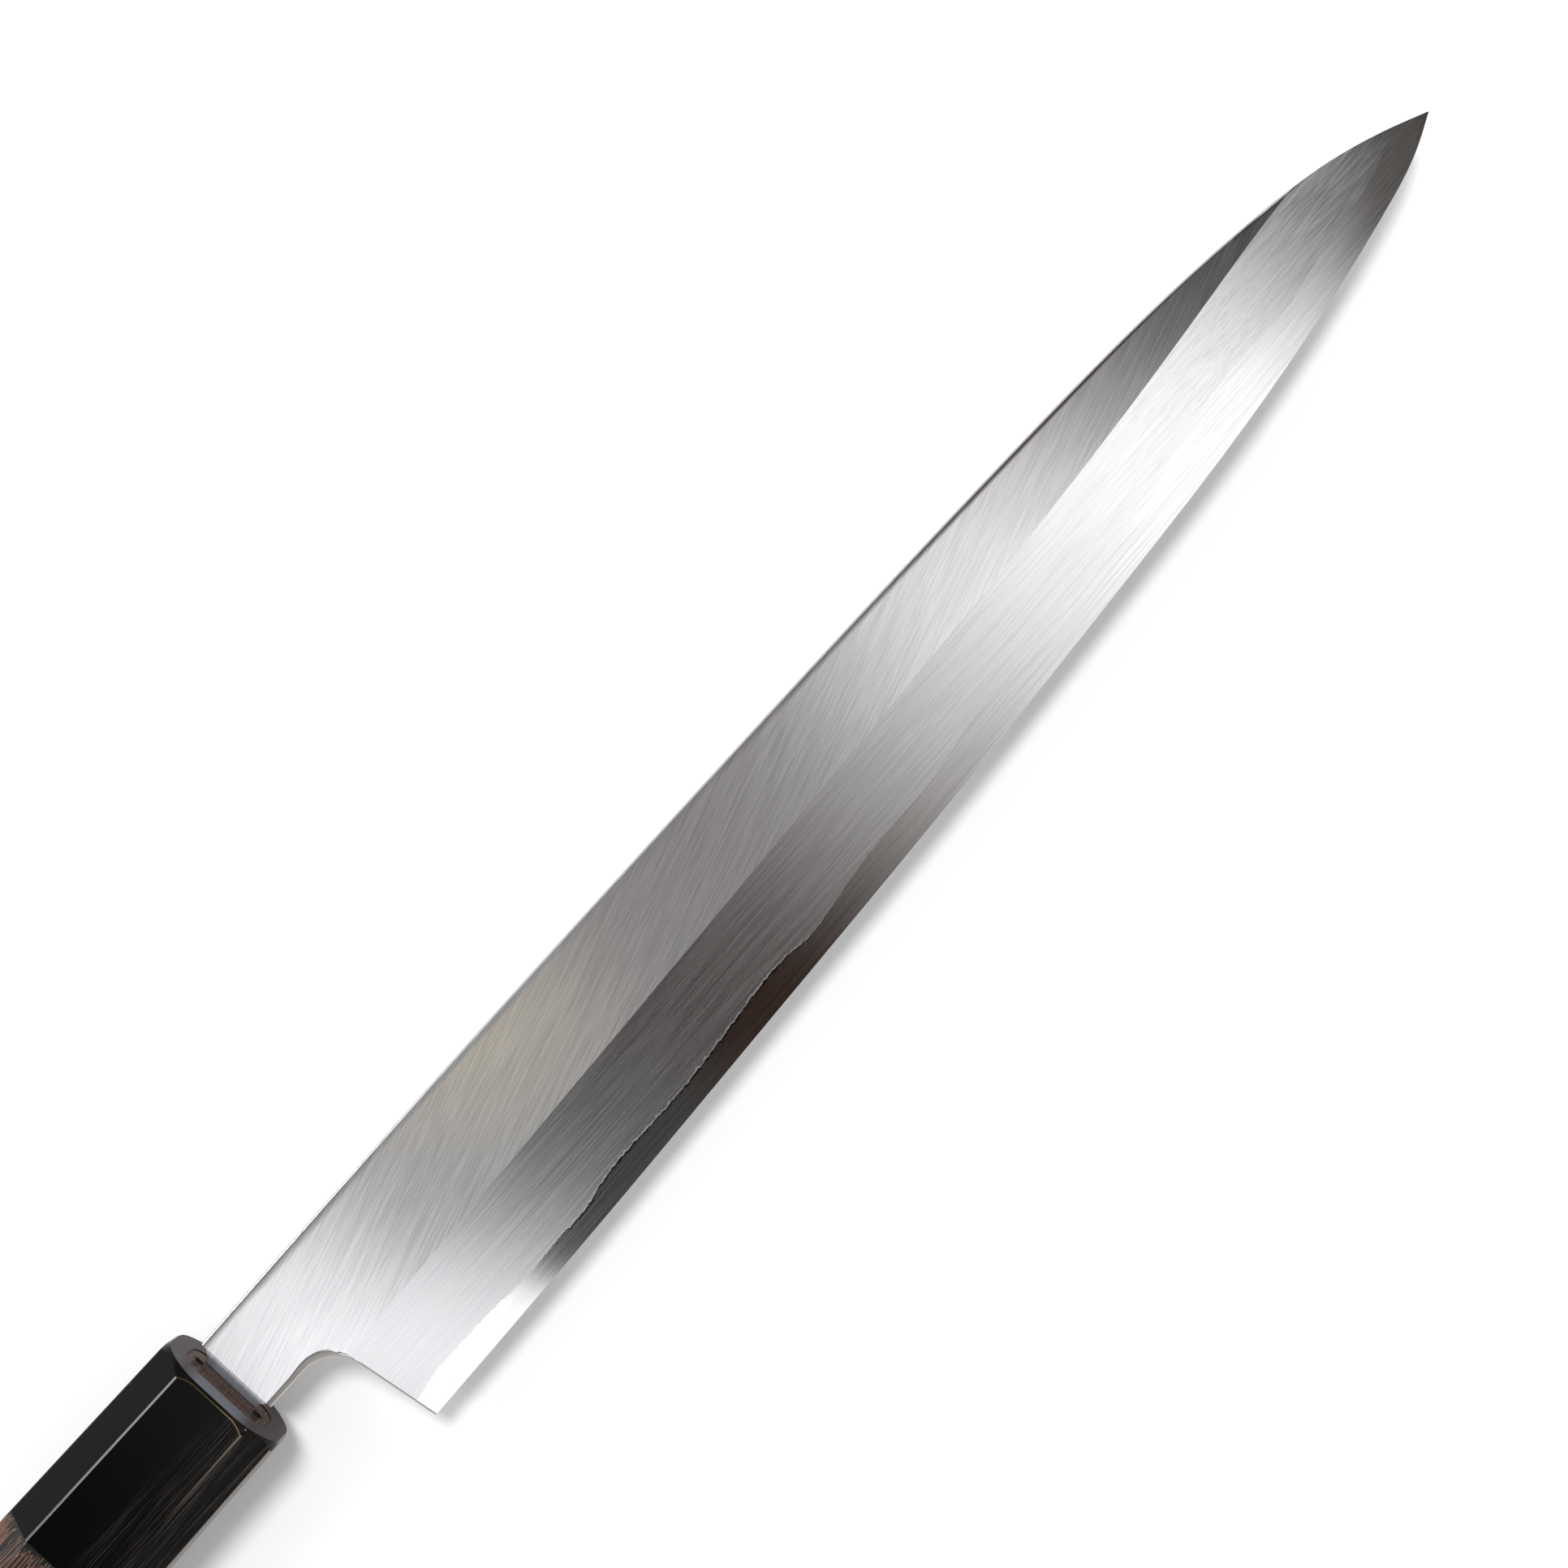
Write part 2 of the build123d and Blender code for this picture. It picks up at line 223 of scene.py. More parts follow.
def flatZ(x):
    share = (x - shoulderX) / (edgeLength - shoulderX)
    return backZ + blade["thickness"] + (blade["tipThickness"] - blade["thickness"]) * share


def bevelZ(x, y):
    edge, ridge = lineAt(edgeLine, x), lineAt(ridgeLine, x)
    return edgeZ + (y - edge) / (ridge - edge) * (flatZ(x) - edgeZ)


# The weld from the side: where it comes out on the bevel gives its height
def weldOutline():
    heights = [(x, bevelZ(x, y)) for x, y in onBlade(weldShares)]
    last = (edgeLength + blade["weldOverrun"], heights[-1][1])
    return splineThrough([(-blade["scarfSetback"], heights[0][1])] + heights + [last])


weldLine = weldOutline()


def weldWobble(x):
    ragged = np.interp(x, raggedness["mm"], raggedness["share"])
    waves = (height * np.sin(2 * math.pi * x / length + start) for length, height, start in weldWaves)
    return ragged * sum(waves)


def weldZ(x):
    setback = blade["scarfSetback"]
    above = lineAt(weldLine, x) + weldWobble(x) * np.clip((x + setback) / blade["wobbleRise"], 0, 1)
    share = np.clip((x - scarfEndX) / blade["scarfLength"], 0, 1)
    return np.where(x < -setback, backZ + (weldLine[0, 1] - backZ) * share, above)


def weldY(x):
    edge, ridge = lineAt(edgeLine, x), lineAt(ridgeLine, x)
    return edge + (weldZ(x) - edgeZ) / (flatZ(x) - edgeZ) * (ridge - edge)


# The line behind the heel: along the neck, round the choil and down the leaning cut to the heel's corner
def rearOutline(points=27):
    radius = blade["choilRadius"]
    lean = np.array([-blade["choilLean"], neckY]) / math.hypot(blade["choilLean"], neckY)
    out = np.array([-lean[1], lean[0]])
    foot = lean * (neckY - radius - radius * out[1]) / lean[1]
    centre = foot + out * radius
    turn = np.linspace(math.pi / 2, math.asin((foot[1] - centre[1]) / radius), points)
    arc = centre + radius * np.stack([np.cos(turn), np.sin(turn)], 1)
    return np.vstack([[(tangEndX, neckY)], arc, [(0, 0)]])


rearLine = rearOutline()


# The tang's side at X, drawn down to its end and rounded there, with the round notch at the shoulder
def tangSide(x, side, step):
    share = (shoulderX - x) / blade["tangLength"]
    half = (blade["tangWidth"] + (blade["tangEndWidth"] - blade["tangWidth"]) * share) / 2
    notch, tip = blade["notchShare"] * step, blade["tangTipRadius"]
    intoNotch = np.clip(x - (shoulderX - notch), 0, notch)
    intoTip = np.clip(tangEndX + tip - x, 0, tip)
    half = half + notch - np.sqrt(notch ** 2 - intoNotch ** 2) - tip + np.sqrt(tip ** 2 - intoTip ** 2)
    return axisY + side * half


def lowerY(x):
    behind = np.where(x <= shoulderX, tangSide(x, -1, blade["edgeStep"]), lineAt(rearLine, x))
    return np.where(x < 0, behind, lineAt(edgeLine, x))


def upperY(x):
    return np.where(x <= shoulderX, tangSide(x, 1, blade["spineStep"]), lineAt(spineLine, x))


# A quarter round along an outline, as a height limit at the distance from it
def eased(x, distance, radius):
    into = np.clip(radius - distance, 0, radius)
    return flatZ(x) - radius + np.sqrt(radius ** 2 - into ** 2)


def distanceTo(line, x, y):
    p = np.stack([x, y], -1)[..., None, :]
    start, along = line[:-1], np.diff(line, axis=0)
    t = np.clip(((p - start) * along).sum(-1) / (along ** 2).sum(-1), 0, 1)
    return np.linalg.norm(p - start - t[..., None] * along, axis=-1).min(-1)


def topZ(x, y):
    share = np.clip((shoulderX - x) / blade["tangLength"], 0, 1)
    tang = flatZ(shoulderX) + (blade["tangEndThickness"] / 2 - flatZ(shoulderX)) * share
    z = np.minimum(np.where(x <= shoulderX, tang, flatZ(x)), bevelZ(x, y))
    straightSpine = np.where(x < shoulderX, spineY, lineAt(spineLine, x))
    slope = np.interp(x, spineLine[:, 0], np.gradient(spineLine[:, 1], spineLine[:, 0]))
    z = np.minimum(z, eased(x, (straightSpine - y) / np.sqrt(1 + slope ** 2), blade["spineEasing"]))
    near = x[0] < blade["rearReach"]
    fromNeck = distanceTo(rearLine[:-1], x[:, near], y[:, near])
    z[:, near] = np.minimum(z[:, near], eased(x[:, near], fromNeck, blade["neckEasing"]))
    return z


def hollowLine():
    full = (bladeHeight - 2 * blade["rimWidth"]) ** 2 / (8 * blade["wheelRadius"])
    start, end = blade["hollowHeelGap"], edgeLength - blade["hollowTipGap"]
    inner = [(start + along * (end - start), depth * full) for along, depth in hollowShares]
    return splineThrough([(start, 0)] + inner + [(end, 0)])


hollowDepth = hollowLine()
heelMiddle = np.array([0, bladeHeight / 2])
hollowRun = (np.array(edgePoints[-1]) - heelMiddle) / np.linalg.norm(np.array(edgePoints[-1]) - heelMiddle)


# Where the hollow's border crosses X, on one side of the hollow's middle line
def hollowBorder(x, side, rounds=6):
    reach = blade["wheelRadius"]
    along = np.array(x, float)
    for _ in range(rounds):
        depth = np.clip(lineAt(hollowDepth, along), 0, None)
        across = side * np.sqrt((reach + depth) ** 2 - reach ** 2)
        y = heelMiddle[1] + (across + x * hollowRun[1]) / hollowRun[0]
        along = x * hollowRun[0] + (y - heelMiddle[1]) * hollowRun[1]
    return y


def bottomZ(x, y):
    reach = blade["wheelRadius"]
    along = x * hollowRun[0] + (y - heelMiddle[1]) * hollowRun[1]
    across = (y - heelMiddle[1]) * hollowRun[0] - x * hollowRun[1]
    depth = np.clip(lineAt(hollowDepth, along), 0, None)
    hollow = np.clip(np.sqrt((reach + depth) ** 2 - across ** 2) - reach, 0, None)
    share = np.clip((shoulderX - x) / blade["tangLength"], 0, 1)
    return backZ + hollow + (-blade["tangEndThickness"] / 2 - backZ) * share


# How closely the blade's mesh follows its lines, in mm
bladeMesh = {
    "tangStep": 6.0, "neckStep": 0.6, "shoulderSeat": 0.002, "shoulderStart": 0.15, "cornerPoints": 9,
    # Ends of stretches from the heel's cut to the tip, each with its step
    "stretches": [(0, 0.1), (0.8, 0.1), (blade["hollowHeelGap"], 0.3), (6, 0.2), (100, 0.3), (228, 0.55),
                  (251, 0.4), (edgeLength, 0.2)],
    "insets": np.array([0, 0.03, 0.09, 0.18, 0.3, 0.45, 0.7]),       # rows beside a rounded border
    "wideInsets": [1.0, 1.4, 1.9, 2.5], "ridgeInsets": [0.7, 1.1, 1.6],
    "bandRows": 6, "bevelRows": 12, "flatRows": 10, "rimRows": 4, "hollowRows": 15, "steelWallRows": 4,
    "ironWallRows": 5,
    "mergeMetres": 3e-7, "speckMetres": 2e-7, "creaseDegrees": 50,
}


def spaced(start, end, step):
    return np.linspace(start, end, max(2, int(round((end - start) / step)) + 1))[:-1]


def bladeStations(steps):
    notch, tip = blade["notchShare"] * blade["spineStep"], blade["tangTipRadius"]
    turn = np.linspace(0, math.pi / 2, steps["cornerPoints"])
    stations = [
        tangEndX + tip * (1 - np.cos(turn[:-1])),
        spaced(tangEndX + tip, shoulderX - notch, steps["tangStep"]),
        shoulderX - notch + notch * np.sin(turn), [shoulderX + steps["shoulderSeat"]],
        spaced(shoulderX + steps["shoulderStart"], scarfEndX, steps["neckStep"]),
        spaced(scarfEndX, rearLine[1, 0], steps["neckStep"]), rearLine[1:-2, 0]]
    start = rearLine[-2, 0]
    for end, step in steps["stretches"]:
        stations.append(spaced(start, end, step))
        start = end
    return np.concatenate(stations + [[edgeLength]])


# Rows from one line of Y to another, evenly spaced
def rowsBetween(low, high, count):
    return low + (high - low) * np.linspace(0, 1, count)[:, None]


# Rows with close ones at both sides, for the rounded borders
def borderedRows(low, high, lowInsets, highInsets, inner):
    scale = np.minimum(1, (high - low) / (lowInsets[-1] + highInsets[-1] + 1e-9))
    first = low + np.outer(lowInsets, scale)
    last = high - np.outer(highInsets[::-1], scale)
    return np.vstack([first, rowsBetween(first[-1], last[0], inner + 2)[1:-1], last])


# A closed mesh from strips. Each strip is (name, x, y, z, turned), with its points in rows
def meshFromStrips(name, strips, materialOf, steps):
    bm = bmesh.new()
    patch = bm.faces.layers.int.new("patch")
    names = sorted({strip[0] for strip in strips})
    for kind, x, y, z, turned in strips:
        rows, columns = y.shape
        places = toRow(np.stack([np.broadcast_to(x, y.shape), y, np.broadcast_to(z, y.shape)], -1))
        verts = [[bm.verts.new(p) for p in row] for row in places]
        for i in range(rows - 1):
            for j in range(columns - 1):
                quad = [verts[i][j], verts[i][j + 1], verts[i + 1][j + 1], verts[i + 1][j]]
                face = bm.faces.new(quad[::-1] if turned else quad)
                face[patch] = names.index(kind)
    bmesh.ops.remove_doubles(bm, verts=bm.verts, dist=steps["mergeMetres"])
    bmesh.ops.dissolve_degenerate(bm, edges=bm.edges, dist=steps["speckMetres"])
    bmesh.ops.delete(bm, geom=[edge for edge in bm.edges if not edge.link_faces], context="EDGES")
    gaps = [edge for edge in bm.edges if edge.is_boundary]
    if gaps:
        bmesh.ops.holes_fill(bm, edges=gaps, sides=0)
    materials = []
    for face in bm.faces:
        face.smooth = True
        material = materialOf[names[face[patch]]]
        if material not in materials:
            materials.append(material)
        face.material_index = materials.index(material)
    for edge in bm.edges:
        if len(edge.link_faces) == 2:
            one, other = edge.link_faces
            bend = math.degrees(edge.calc_face_angle(0))
            edge.smooth = one[patch] == other[patch] and bend < steps["creaseDegrees"]
    left = openEdges(bm)
    bm.faces.layers.int.remove(bm.faces.layers.int["patch"])
    mesh = bpy.data.meshes.new(name)
    bm.to_mesh(mesh)
    bm.free()
    for material in materials:
        mesh.materials.append(material)
    print(name, len(mesh.polygons), "faces,", left, "open edges")
    return newObject(name, mesh)


def bladeStrips(steps):
    x = bladeStations(steps)
    low, high = lowerY(x), upperY(x)
    weld = np.clip(weldY(x), low, high)
    ridge = np.clip(lineAt(ridgeLine, x), weld, high)
    insets = steps["insets"]
    halves = insets / 2
    bevelInsets, flatInsets = np.append(halves, steps["ridgeInsets"]), np.append(insets, steps["wideInsets"])
    steelRows = rowsBetween(low, weld, steps["bandRows"])
    bevelRows = borderedRows(weld, ridge, insets[:1], bevelInsets, steps["bevelRows"])
    flatRows = borderedRows(ridge, high, flatInsets, halves, steps["flatRows"])
    nearRim, farRim = (np.clip(hollowBorder(x, side), low, high) for side in (-1, 1))
    backRows = [rowsBetween(low, nearRim, steps["rimRows"]),
                rowsBetween(nearRim, farRim, steps["hollowRows"]),
                rowsBetween(farRim, high, steps["rimRows"])]
    insideRows = np.vstack([backRows[0], backRows[1][1:], backRows[2][1:]])

    def wide(rows):
        return np.broadcast_to(x, rows.shape)

    def top(rows):
        return topZ(wide(rows), rows)

    def wall(kind, y, lowest, highest, count, turned):
        return kind, x, rowsBetween(y, y, count), rowsBetween(lowest, highest, count), turned

    # Steel: from the scarf's end to the tip
    seam = np.clip(insideRows, weld, high)
    seamZ = np.minimum(weldZ(wide(seam)), top(seam))
    lowTop, highTop = top(low[None])[0], top(high[None])[0]
    strips = [("edgeBand", x, steelRows, top(steelRows), False), ("inside", x, seam, seamZ, False)]
    for kind, rows in zip(("rim", "hollow", "rim"), backRows):
        strips.append((kind, x, rows, bottomZ(wide(rows), rows), True))
    for kind, y, highest, turned in (("heelWall", low, lowTop, False), ("spineWall", high, highTop, True)):
        highest = np.minimum(weldZ(x), highest)
        strips.append(wall(kind, y, bottomZ(x, y), highest, steps["steelWallRows"], turned))
    steel = x >= scarfEndX - tiny
    steelStrips = [(kind, x[steel], y[:, steel], z[:, steel], turned) for kind, x, y, z, turned in strips]

    # Iron: the whole length but the last of the tip
    ironFloor = np.where(wide(seam) < scarfEndX - tiny, bottomZ(wide(seam), seam), seamZ)
    ironStrips = [("bevel", x, bevelRows, top(bevelRows), False), ("flat", x, flatRows, top(flatRows), False),
                  ("inside", x, seam, ironFloor, True)]
    walls = (("neckWall", 0, top(weld[None])[0], False), ("spineWall", -1, highTop, True))
    for kind, row, highest, turned in walls:
        ironStrips.append(wall(kind, seam[row], ironFloor[row], highest, steps["ironWallRows"], turned))
    return ironStrips, steelStrips


# Noise drawn out in one direction, from the stroke's real length and width in mm
def drawnNoise(tree, stroke, turn=0.0, shift=0.0, detail=2.0, bend=0.0, depth=None, slowLength=14.0):
    place = addNode(tree, "TexCoord", output="Object")
    if bend:
        slow = {"Vector": place, "Scale": 1 / (slowLength * mm), "Detail": 1.0}
        slow = addNode(tree, "TexNoise", slow, "Color")
        place = addNode(tree, "VectorMath", (slow, (0, bend * mm, 0), place), **timesPlus)
    scale = (stroke[0] * mm, stroke[1] * mm, (depth or stroke[1]) * mm)
    drawn = {"Vector": place, "Location": (shift * mm, shift * mm, 0), "Rotation": (0, 0, math.radians(turn)),
             "Scale": scale}
    along = addNode(tree, "Mapping", drawn, vector_type="TEXTURE")
    return addNode(tree, "TexNoise", {"Vector": along, "Scale": 1.0, "Detail": detail, "Roughness": 0.6})


# Lays tones over a colour. Each tone shows where all of its shares meet
def layered(tree, colour, *layers):
    for tone, *shares in layers:
        share = shares[0]
        for other in shares[1:]:
            share = addNode(tree, "Math", (share, other), **times)
        colour = addNode(tree, "Mix", {0: share, 6: colour, 7: tone}, 2, data_type="RGBA")
    return colour


def finished(tree, inputs, height=None, relief=0.0):
    if height is not None:
        inputs["Normal"] = addNode(tree, "Bump", {"Height": height, "Distance": relief * mm, "Strength": 1.0})
    shader = addNode(tree, "BsdfPrincipled", inputs)
    addNode(tree, "OutputMaterial", {"Surface": shader}, None)


# Where a point is along the drawing, in mm
def drawingX(tree):
    x = addNode(tree, "SeparateXYZ", (addNode(tree, "TexCoord", output="Object"),))
    return addNode(tree, "Math", (x, 1 / mm, -drawingOrigin[0]), **timesPlus)


noiseSpread = (0.35, 0.65)    # most of a noise's values lie between these

# Finishes of the blade. A stroke is mm long and wide, turned in degrees from the knife's length. Its two
# tones carry most of the look. Real scratches are a few hundredths of a millimetre wide, too fine to show,
# so that they are drawn about two points of the picture wide
bladeFinishes = {
    # Soft iron of the flat, ground at a slant on a fine wheel: a cool grey satin with short crossing strokes
    "flatGround": {"stroke": (9.0, 0.24), "turn": 16.0, "tones": ("#e3e3e5", "#fafafb"),
                   "gloss": (0.12, 0.13), "relief": 0.0002},
    # The same iron on the bevel, honed lengthwise on a flat stone: brighter, with strokes along the knife.
    # Toward the tip it is more worn, and a thin rougher line runs along the weld, tinted pale as a painted
    # highlight
    "bevelHoned": {"stroke": (12.0, 0.24), "turn": 1.0, "tones": ("#e0e0e2", "#f0f0f1"),
                   "gloss": (0.145, 0.16), "relief": 0.0002, "worn": True,
                   "seam": {"tone": "#f4f2f0", "share": 0.25, "scatter": 0.9}},
    # Hard edge steel, honed finer on the same stone: it mirrors more sharply, with a dark line of painted
    # shade along the weld
    "edgeHoned": {"stroke": (16.0, 0.26), "turn": 1.5, "tones": ("#d6d6d5", "#e8e8e7"),
                  "gloss": (0.065, 0.08), "relief": 0.0002,
                  "seam": {"tone": "#2a1d18", "share": 0.8, "scatter": 0.0}},
    # The back's hollow, ground crosswise on a big round wheel: satin, with strokes across the blade
    "backHollowed": {"stroke": (0.24, 6.0), "turn": 0.0, "tones": ("#cdcdcf", "#e8e8e9"),
                     "gloss": (0.17, 0.4), "relief": 0.0008},
    # The rim round the hollow, laid on the flat stone: it mirrors like the edge
    "rimHoned": {"stroke": (16.0, 0.26), "turn": 0.0, "tones": ("#dedcda", "#f0eeec"),
                 "gloss": (0.07, 0.2), "relief": 0.0003},
    # Spine, neck and choil, dressed lengthwise with fine paper and rounded over: duller, and darker and
    # browner as painted shade
    "sideDressedShaded": {"stroke": (6.0, 0.3), "turn": 0.0, "tones": ("#a0978c", "#c4bbb0"),
                    "gloss": (0.3, 0.45), "relief": 0.0004},
}
bladeWear = {
    "strokeBend": 0.12, "crossingTurn": 1.5, "crossingShare": 0.2, "toneSpread": (0.36, 0.64),
    "roundedNormal": (0.95, 0.85), "roundedShadeShare": 0.85, "roundedShadeTone": "#b6b0a8", "roundedRough": 0.45,
    # The band of painted shade along the neck: mm from the heel's corner and mm wide, and a share that
    # narrows it at the choil
    "bandX": (-11.3, -3.8), "bandWidth": (0.85, 1.3), "narrowX": (-3.1, -1.5), "narrowShare": 0.18,
    "bandEdge": (-0.05, 0.1), "lineEdge": (0.06, 0.2), "shadeLineShare": 0.7, "lineEndX": (-4.1, -2.9),
    "shadeLineTone": "#2a2725",
    # The worn bevel near the tip: mm from the heel's corner where wear sets in, strokes, and their shares
    "pitX": (166.7, 236.7), "pitStroke": (3.0, 0.22), "pitSpread": (0.5, 0.7, 0, 0.5),
    "streakX": (206.7, 233.7), "streakStroke": (6.0, 0.24), "streakShares": (0.42, 0.85),
    "wornTone": "#8d8d92",
    # The painted line along the weld, a highlight on the bevel and shade on the edge steel, and where on the
    # bevel it shows
    "seamGrain": (0.8, 0.8), "seamWidth": (0.1, 0.4), "seamStartX": (24.7, 38.7), "seamEndX": (81.7, 108.7),
}


# Metal with drawn-out scratches in two tones
def scratchedMetal(name, finish, wear):
    material, tree = newMaterial(name)
    stroke, turn, bend = finish["stroke"], finish["turn"], wear["strokeBend"]
    fine = drawnNoise(tree, stroke, turn, detail=1.0, bend=bend)
    crossing = drawnNoise(tree, stroke, turn - wear["crossingTurn"], shift=40, detail=0.0, bend=bend)
    both = addNode(tree, "Mix", {0: wear["crossingShare"], 2: fine, 3: crossing})
    share = addNode(tree, "MapRange", (both, *wear["toneSpread"], 0, 1))
    colour = layered(tree, finish["tones"][0], (finish["tones"][1], share))
    rough = addNode(tree, "MapRange", (fine, *noiseSpread, finish["gloss"][0], finish["gloss"][1]))
    if "worn" in finish:
        colour = layered(tree, colour, (wear["wornTone"], bevelWear(tree, wear)))
    # Along the weld a line is painted: a highlight on the bevel, shade on the edge steel
    if "seam" in finish:
        seam = weldSeam(tree, wear, finish["seam"]["share"])
        colour = layered(tree, colour, (finish["seam"]["tone"], seam))
        scattered = addNode(tree, "Math", (seam, finish["seam"]["scatter"]), **times)
        rough = addNode(tree, "Math", (rough, scattered), **largest)
    # Where the edges were rounded over with fine paper the steel is duller. There and on the neck's band its
    # colour is darkened and browned as painted shade, with a painted dark line where the band starts
    normal = addNode(tree, "NewGeometry", output="Normal")
    upright = addNode(tree, "Math", (addNode(tree, "SeparateXYZ", (normal,), 2),), operation="ABSOLUTE")
    rounded = addNode(tree, "MapRange", (upright, *wear["roundedNormal"], 0, wear["roundedShadeShare"]))
    band, line = neckBand(tree, wear)
    rounded = addNode(tree, "Math", (rounded, band), **largest)
    colour = layered(tree, colour, (wear["roundedShadeTone"], rounded), (wear["shadeLineTone"], line))
    dull = addNode(tree, "Math", (rounded, wear["roundedRough"]), **times)
    rough = addNode(tree, "Math", (rough, dull), **largest)
    finished(tree, {"Base Color": colour, "Metallic": 1.0, "Roughness": rough}, fine, finish["relief"])
    return material


# The band along the neck, rounded over and painted in shade, is widest beside the handle, with a painted dark
# line where it starts
def neckBand(tree, wear):
    x = drawingX(tree)
    away = addNode(tree, "Attribute", output="Fac", attribute_name="fromRear")
    width = addNode(tree, "MapRange", (x, *wear["bandX"], *wear["bandWidth"]), **smooth)
    narrowed = addNode(tree, "MapRange", (x, *wear["narrowX"], 1, wear["narrowShare"]), **smooth)
    width = addNode(tree, "Math", (width, narrowed), **times)
    inside = addNode(tree, "Math", (width, away), **minus)
    band = addNode(tree, "MapRange", (inside, *wear["bandEdge"], 0, wear["roundedShadeShare"]))
    offLine = addNode(tree, "Math", (inside,), operation="ABSOLUTE")
    line = addNode(tree, "MapRange", (offLine, *wear["lineEdge"], wear["shadeLineShare"], 0), **smooth)
    ended = addNode(tree, "MapRange", (x, *wear["lineEndX"], 1, 0))
    return band, addNode(tree, "Math", (line, ended), **times)


# Share of wear on the bevel: dark drawn-out pits, and closer streaks near the tip
def bevelWear(tree, wear):
    x = drawingX(tree)
    pits = drawnNoise(tree, wear["pitStroke"], 1, shift=90)
    pits = addNode(tree, "MapRange", (pits, *wear["pitSpread"]), **smooth)
    streaks = addNode(tree, "MapRange", (drawnNoise(tree, wear["streakStroke"], 1, shift=70, detail=1.0),
                                         *noiseSpread, *wear["streakShares"]))
    shares = []
    for pattern, start in ((pits, "pitX"), (streaks, "streakX")):
        towardTip = addNode(tree, "MapRange", (x, *wear[start], 0, 1), **smooth)
        shares.append(addNode(tree, "Math", (towardTip, pattern), **times))
    return addNode(tree, "Math", shares, **largest)


# Share of the painted line along the weld, whose distance in mm the mesh carries. It is clearest near the
# heel
def weldSeam(tree, wear, share):
    away = addNode(tree, "Attribute", output="Fac", attribute_name="fromWeld")
    x = drawingX(tree)
    width = addNode(tree, "MapRange", (drawnNoise(tree, wear["seamGrain"]), *noiseSpread, *wear["seamWidth"]))
    for border, ends in (("seamStartX", (0, 1)), ("seamEndX", (1, 0))):
        shown = addNode(tree, "MapRange", (x, *wear[border], *ends), **smooth)
        width = addNode(tree, "Math", (width, shown), **times)
    line = addNode(tree, "Math", (away, width), operation="LESS_THAN")
    return addNode(tree, "Math", (line, share), **times)


metals = {name: scratchedMetal(name, finish, bladeWear) for name, finish in bladeFinishes.items()}
ironStrips, steelStrips = bladeStrips(bladeMesh)
# Strips that are not named here are dressed like the sides
stripFinishes = {"bevel": "bevelHoned", "flat": "flatGround", "edgeBand": "edgeHoned", "rim": "rimHoned",
                 "hollow": "backHollowed"}
stripMetals = {strip[0]: metals[stripFinishes.get(strip[0], "sideDressedShaded")]
               for strip in ironStrips + steelStrips}
bladeIron = meshFromStrips("bladeIron", ironStrips, stripMetals, bladeMesh)
bladeSteel = meshFromStrips("bladeSteel", steelStrips, stripMetals, bladeMesh)


# Each point keeps how far it is from the weld's line and from the line behind the heel, in mm
def keepDistances(piece, farAway=9):
    x, y, _ = (np.array([vertex.co for vertex in piece.data.vertices]) / mm - drawingOrigin).T
    distances = {"fromWeld": np.where(x < 0, farAway, np.abs(y - weldY(x))),
                 "fromRear": np.where(x < blade["rearReach"], distanceTo(rearLine, x, y), farAway)}
    for name, away in distances.items():
        attribute = piece.data.attributes.new(name, "FLOAT", "POINT")
        attribute.data.foreach_set("value", away.astype(np.float32))


for piece, node, slotName in ((bladeIron, "blade_iron", "soft_iron"),
                              (bladeSteel, "blade_edge_steel", "edge_steel")):
    keepDistances(piece)
    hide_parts(node)
    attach(piece, "root")
print("blade made")

# Handle: one eight-sided tapering section, which the horn ferrule and the wooden grip share

handle = {
    "faceX": -18.1, "jointX": -53.1, "buttX": -161.1,
    "frontWidth": 23.2, "frontThickness": 20.5, "frontBevel": 4.95,
    "buttWidth": 27.4, "buttThickness": 24.0, "buttBevel": 5.8, "arrisRadius": 0.5,
    "tenonWidth": 16.5, "tenonThickness": 10.7, "tenonRadius": 3.65,
    "pointSpacing": 0.5, "wornWidth": 0.07, "mergeMetres": 2e-6, "creaseDegrees": 20,
}
# Black water buffalo horn, turned to shape and buffed: near black and glossy, with fine lengthwise sanding
# scratches left on the edge's side and pale specks in its grain. Highlights, a floor's reflection and a sheen
# are painted on its front and arrises
ferrule = {
    "inset": 0.3, "slope": 1.578, "roundShare": 0.43,
    "scratch": (60.0, 0.16), "scratchSpread": (0.5, 0.7, 0, 0.9), "sandedUp": (1.5, -5.0),
    "group": (60.0, 2.0), "groupSpread": (0.4, 0.58, 0.3, 1),
    "hornTone": "#0c0b0b", "scratchTone": "#5c5550",
    "speckSpacing": 2.6, "speckChance": 0.1, "speckShare": 0.055, "speckTone": "#b9ab8e",
    "wornNormal": (0.8, 0.9), "wornShares": (0.25, 0.8), "wornTone": "#b39c68",
    "levelNormal": 0.1, "arrisNormal": 0.38, "arrisSpread": 0.08,
    "frontLength": 20.0, "frontHighlightShare": 0.7, "frontHighlightTone": "#a59c8c",
    "lowStart": 0.443, "lowEnd": (0.495, 0.51), "lowReflectionShare": 0.85, "lowReflectionTone": "#b9aea6",
    "faceNormal": (0.93, 0.97), "faceSheenTone": "#868c94", "outerStart": (3.0, 7.0), "outerSheenTone": "#544b4e",
    "holeShadeTone": "#050404", "gloss": (0.13, 0.45), "ior": 1.4, "shine": (0.14, 0.6), "relief": 0.0003,
}
# Magnolia tenon, sawn across: dull brown end grain, with painted shade for the dark holes beside the tang
tenon = {
    "grain": (1.4, 0.16), "grainDepth": 3.0, "tones": ("#3c2a22", "#7a6054"), "holeShadeTone": "#080504",
    "rough": 0.65, "ior": 1.45, "relief": 0.02,
}
# Painted shade: black blots for the dark holes, one on each side of the tang in the handle's mouth
holeShade = {"x": -18.6, "across": (-6.15, 6.3), "z": 2.2, "radii": (0.9, 0.75, 2.2), "edge": (1.15, 1.5),
         "wanderSize": 0.8, "wanderShare": 0.8}
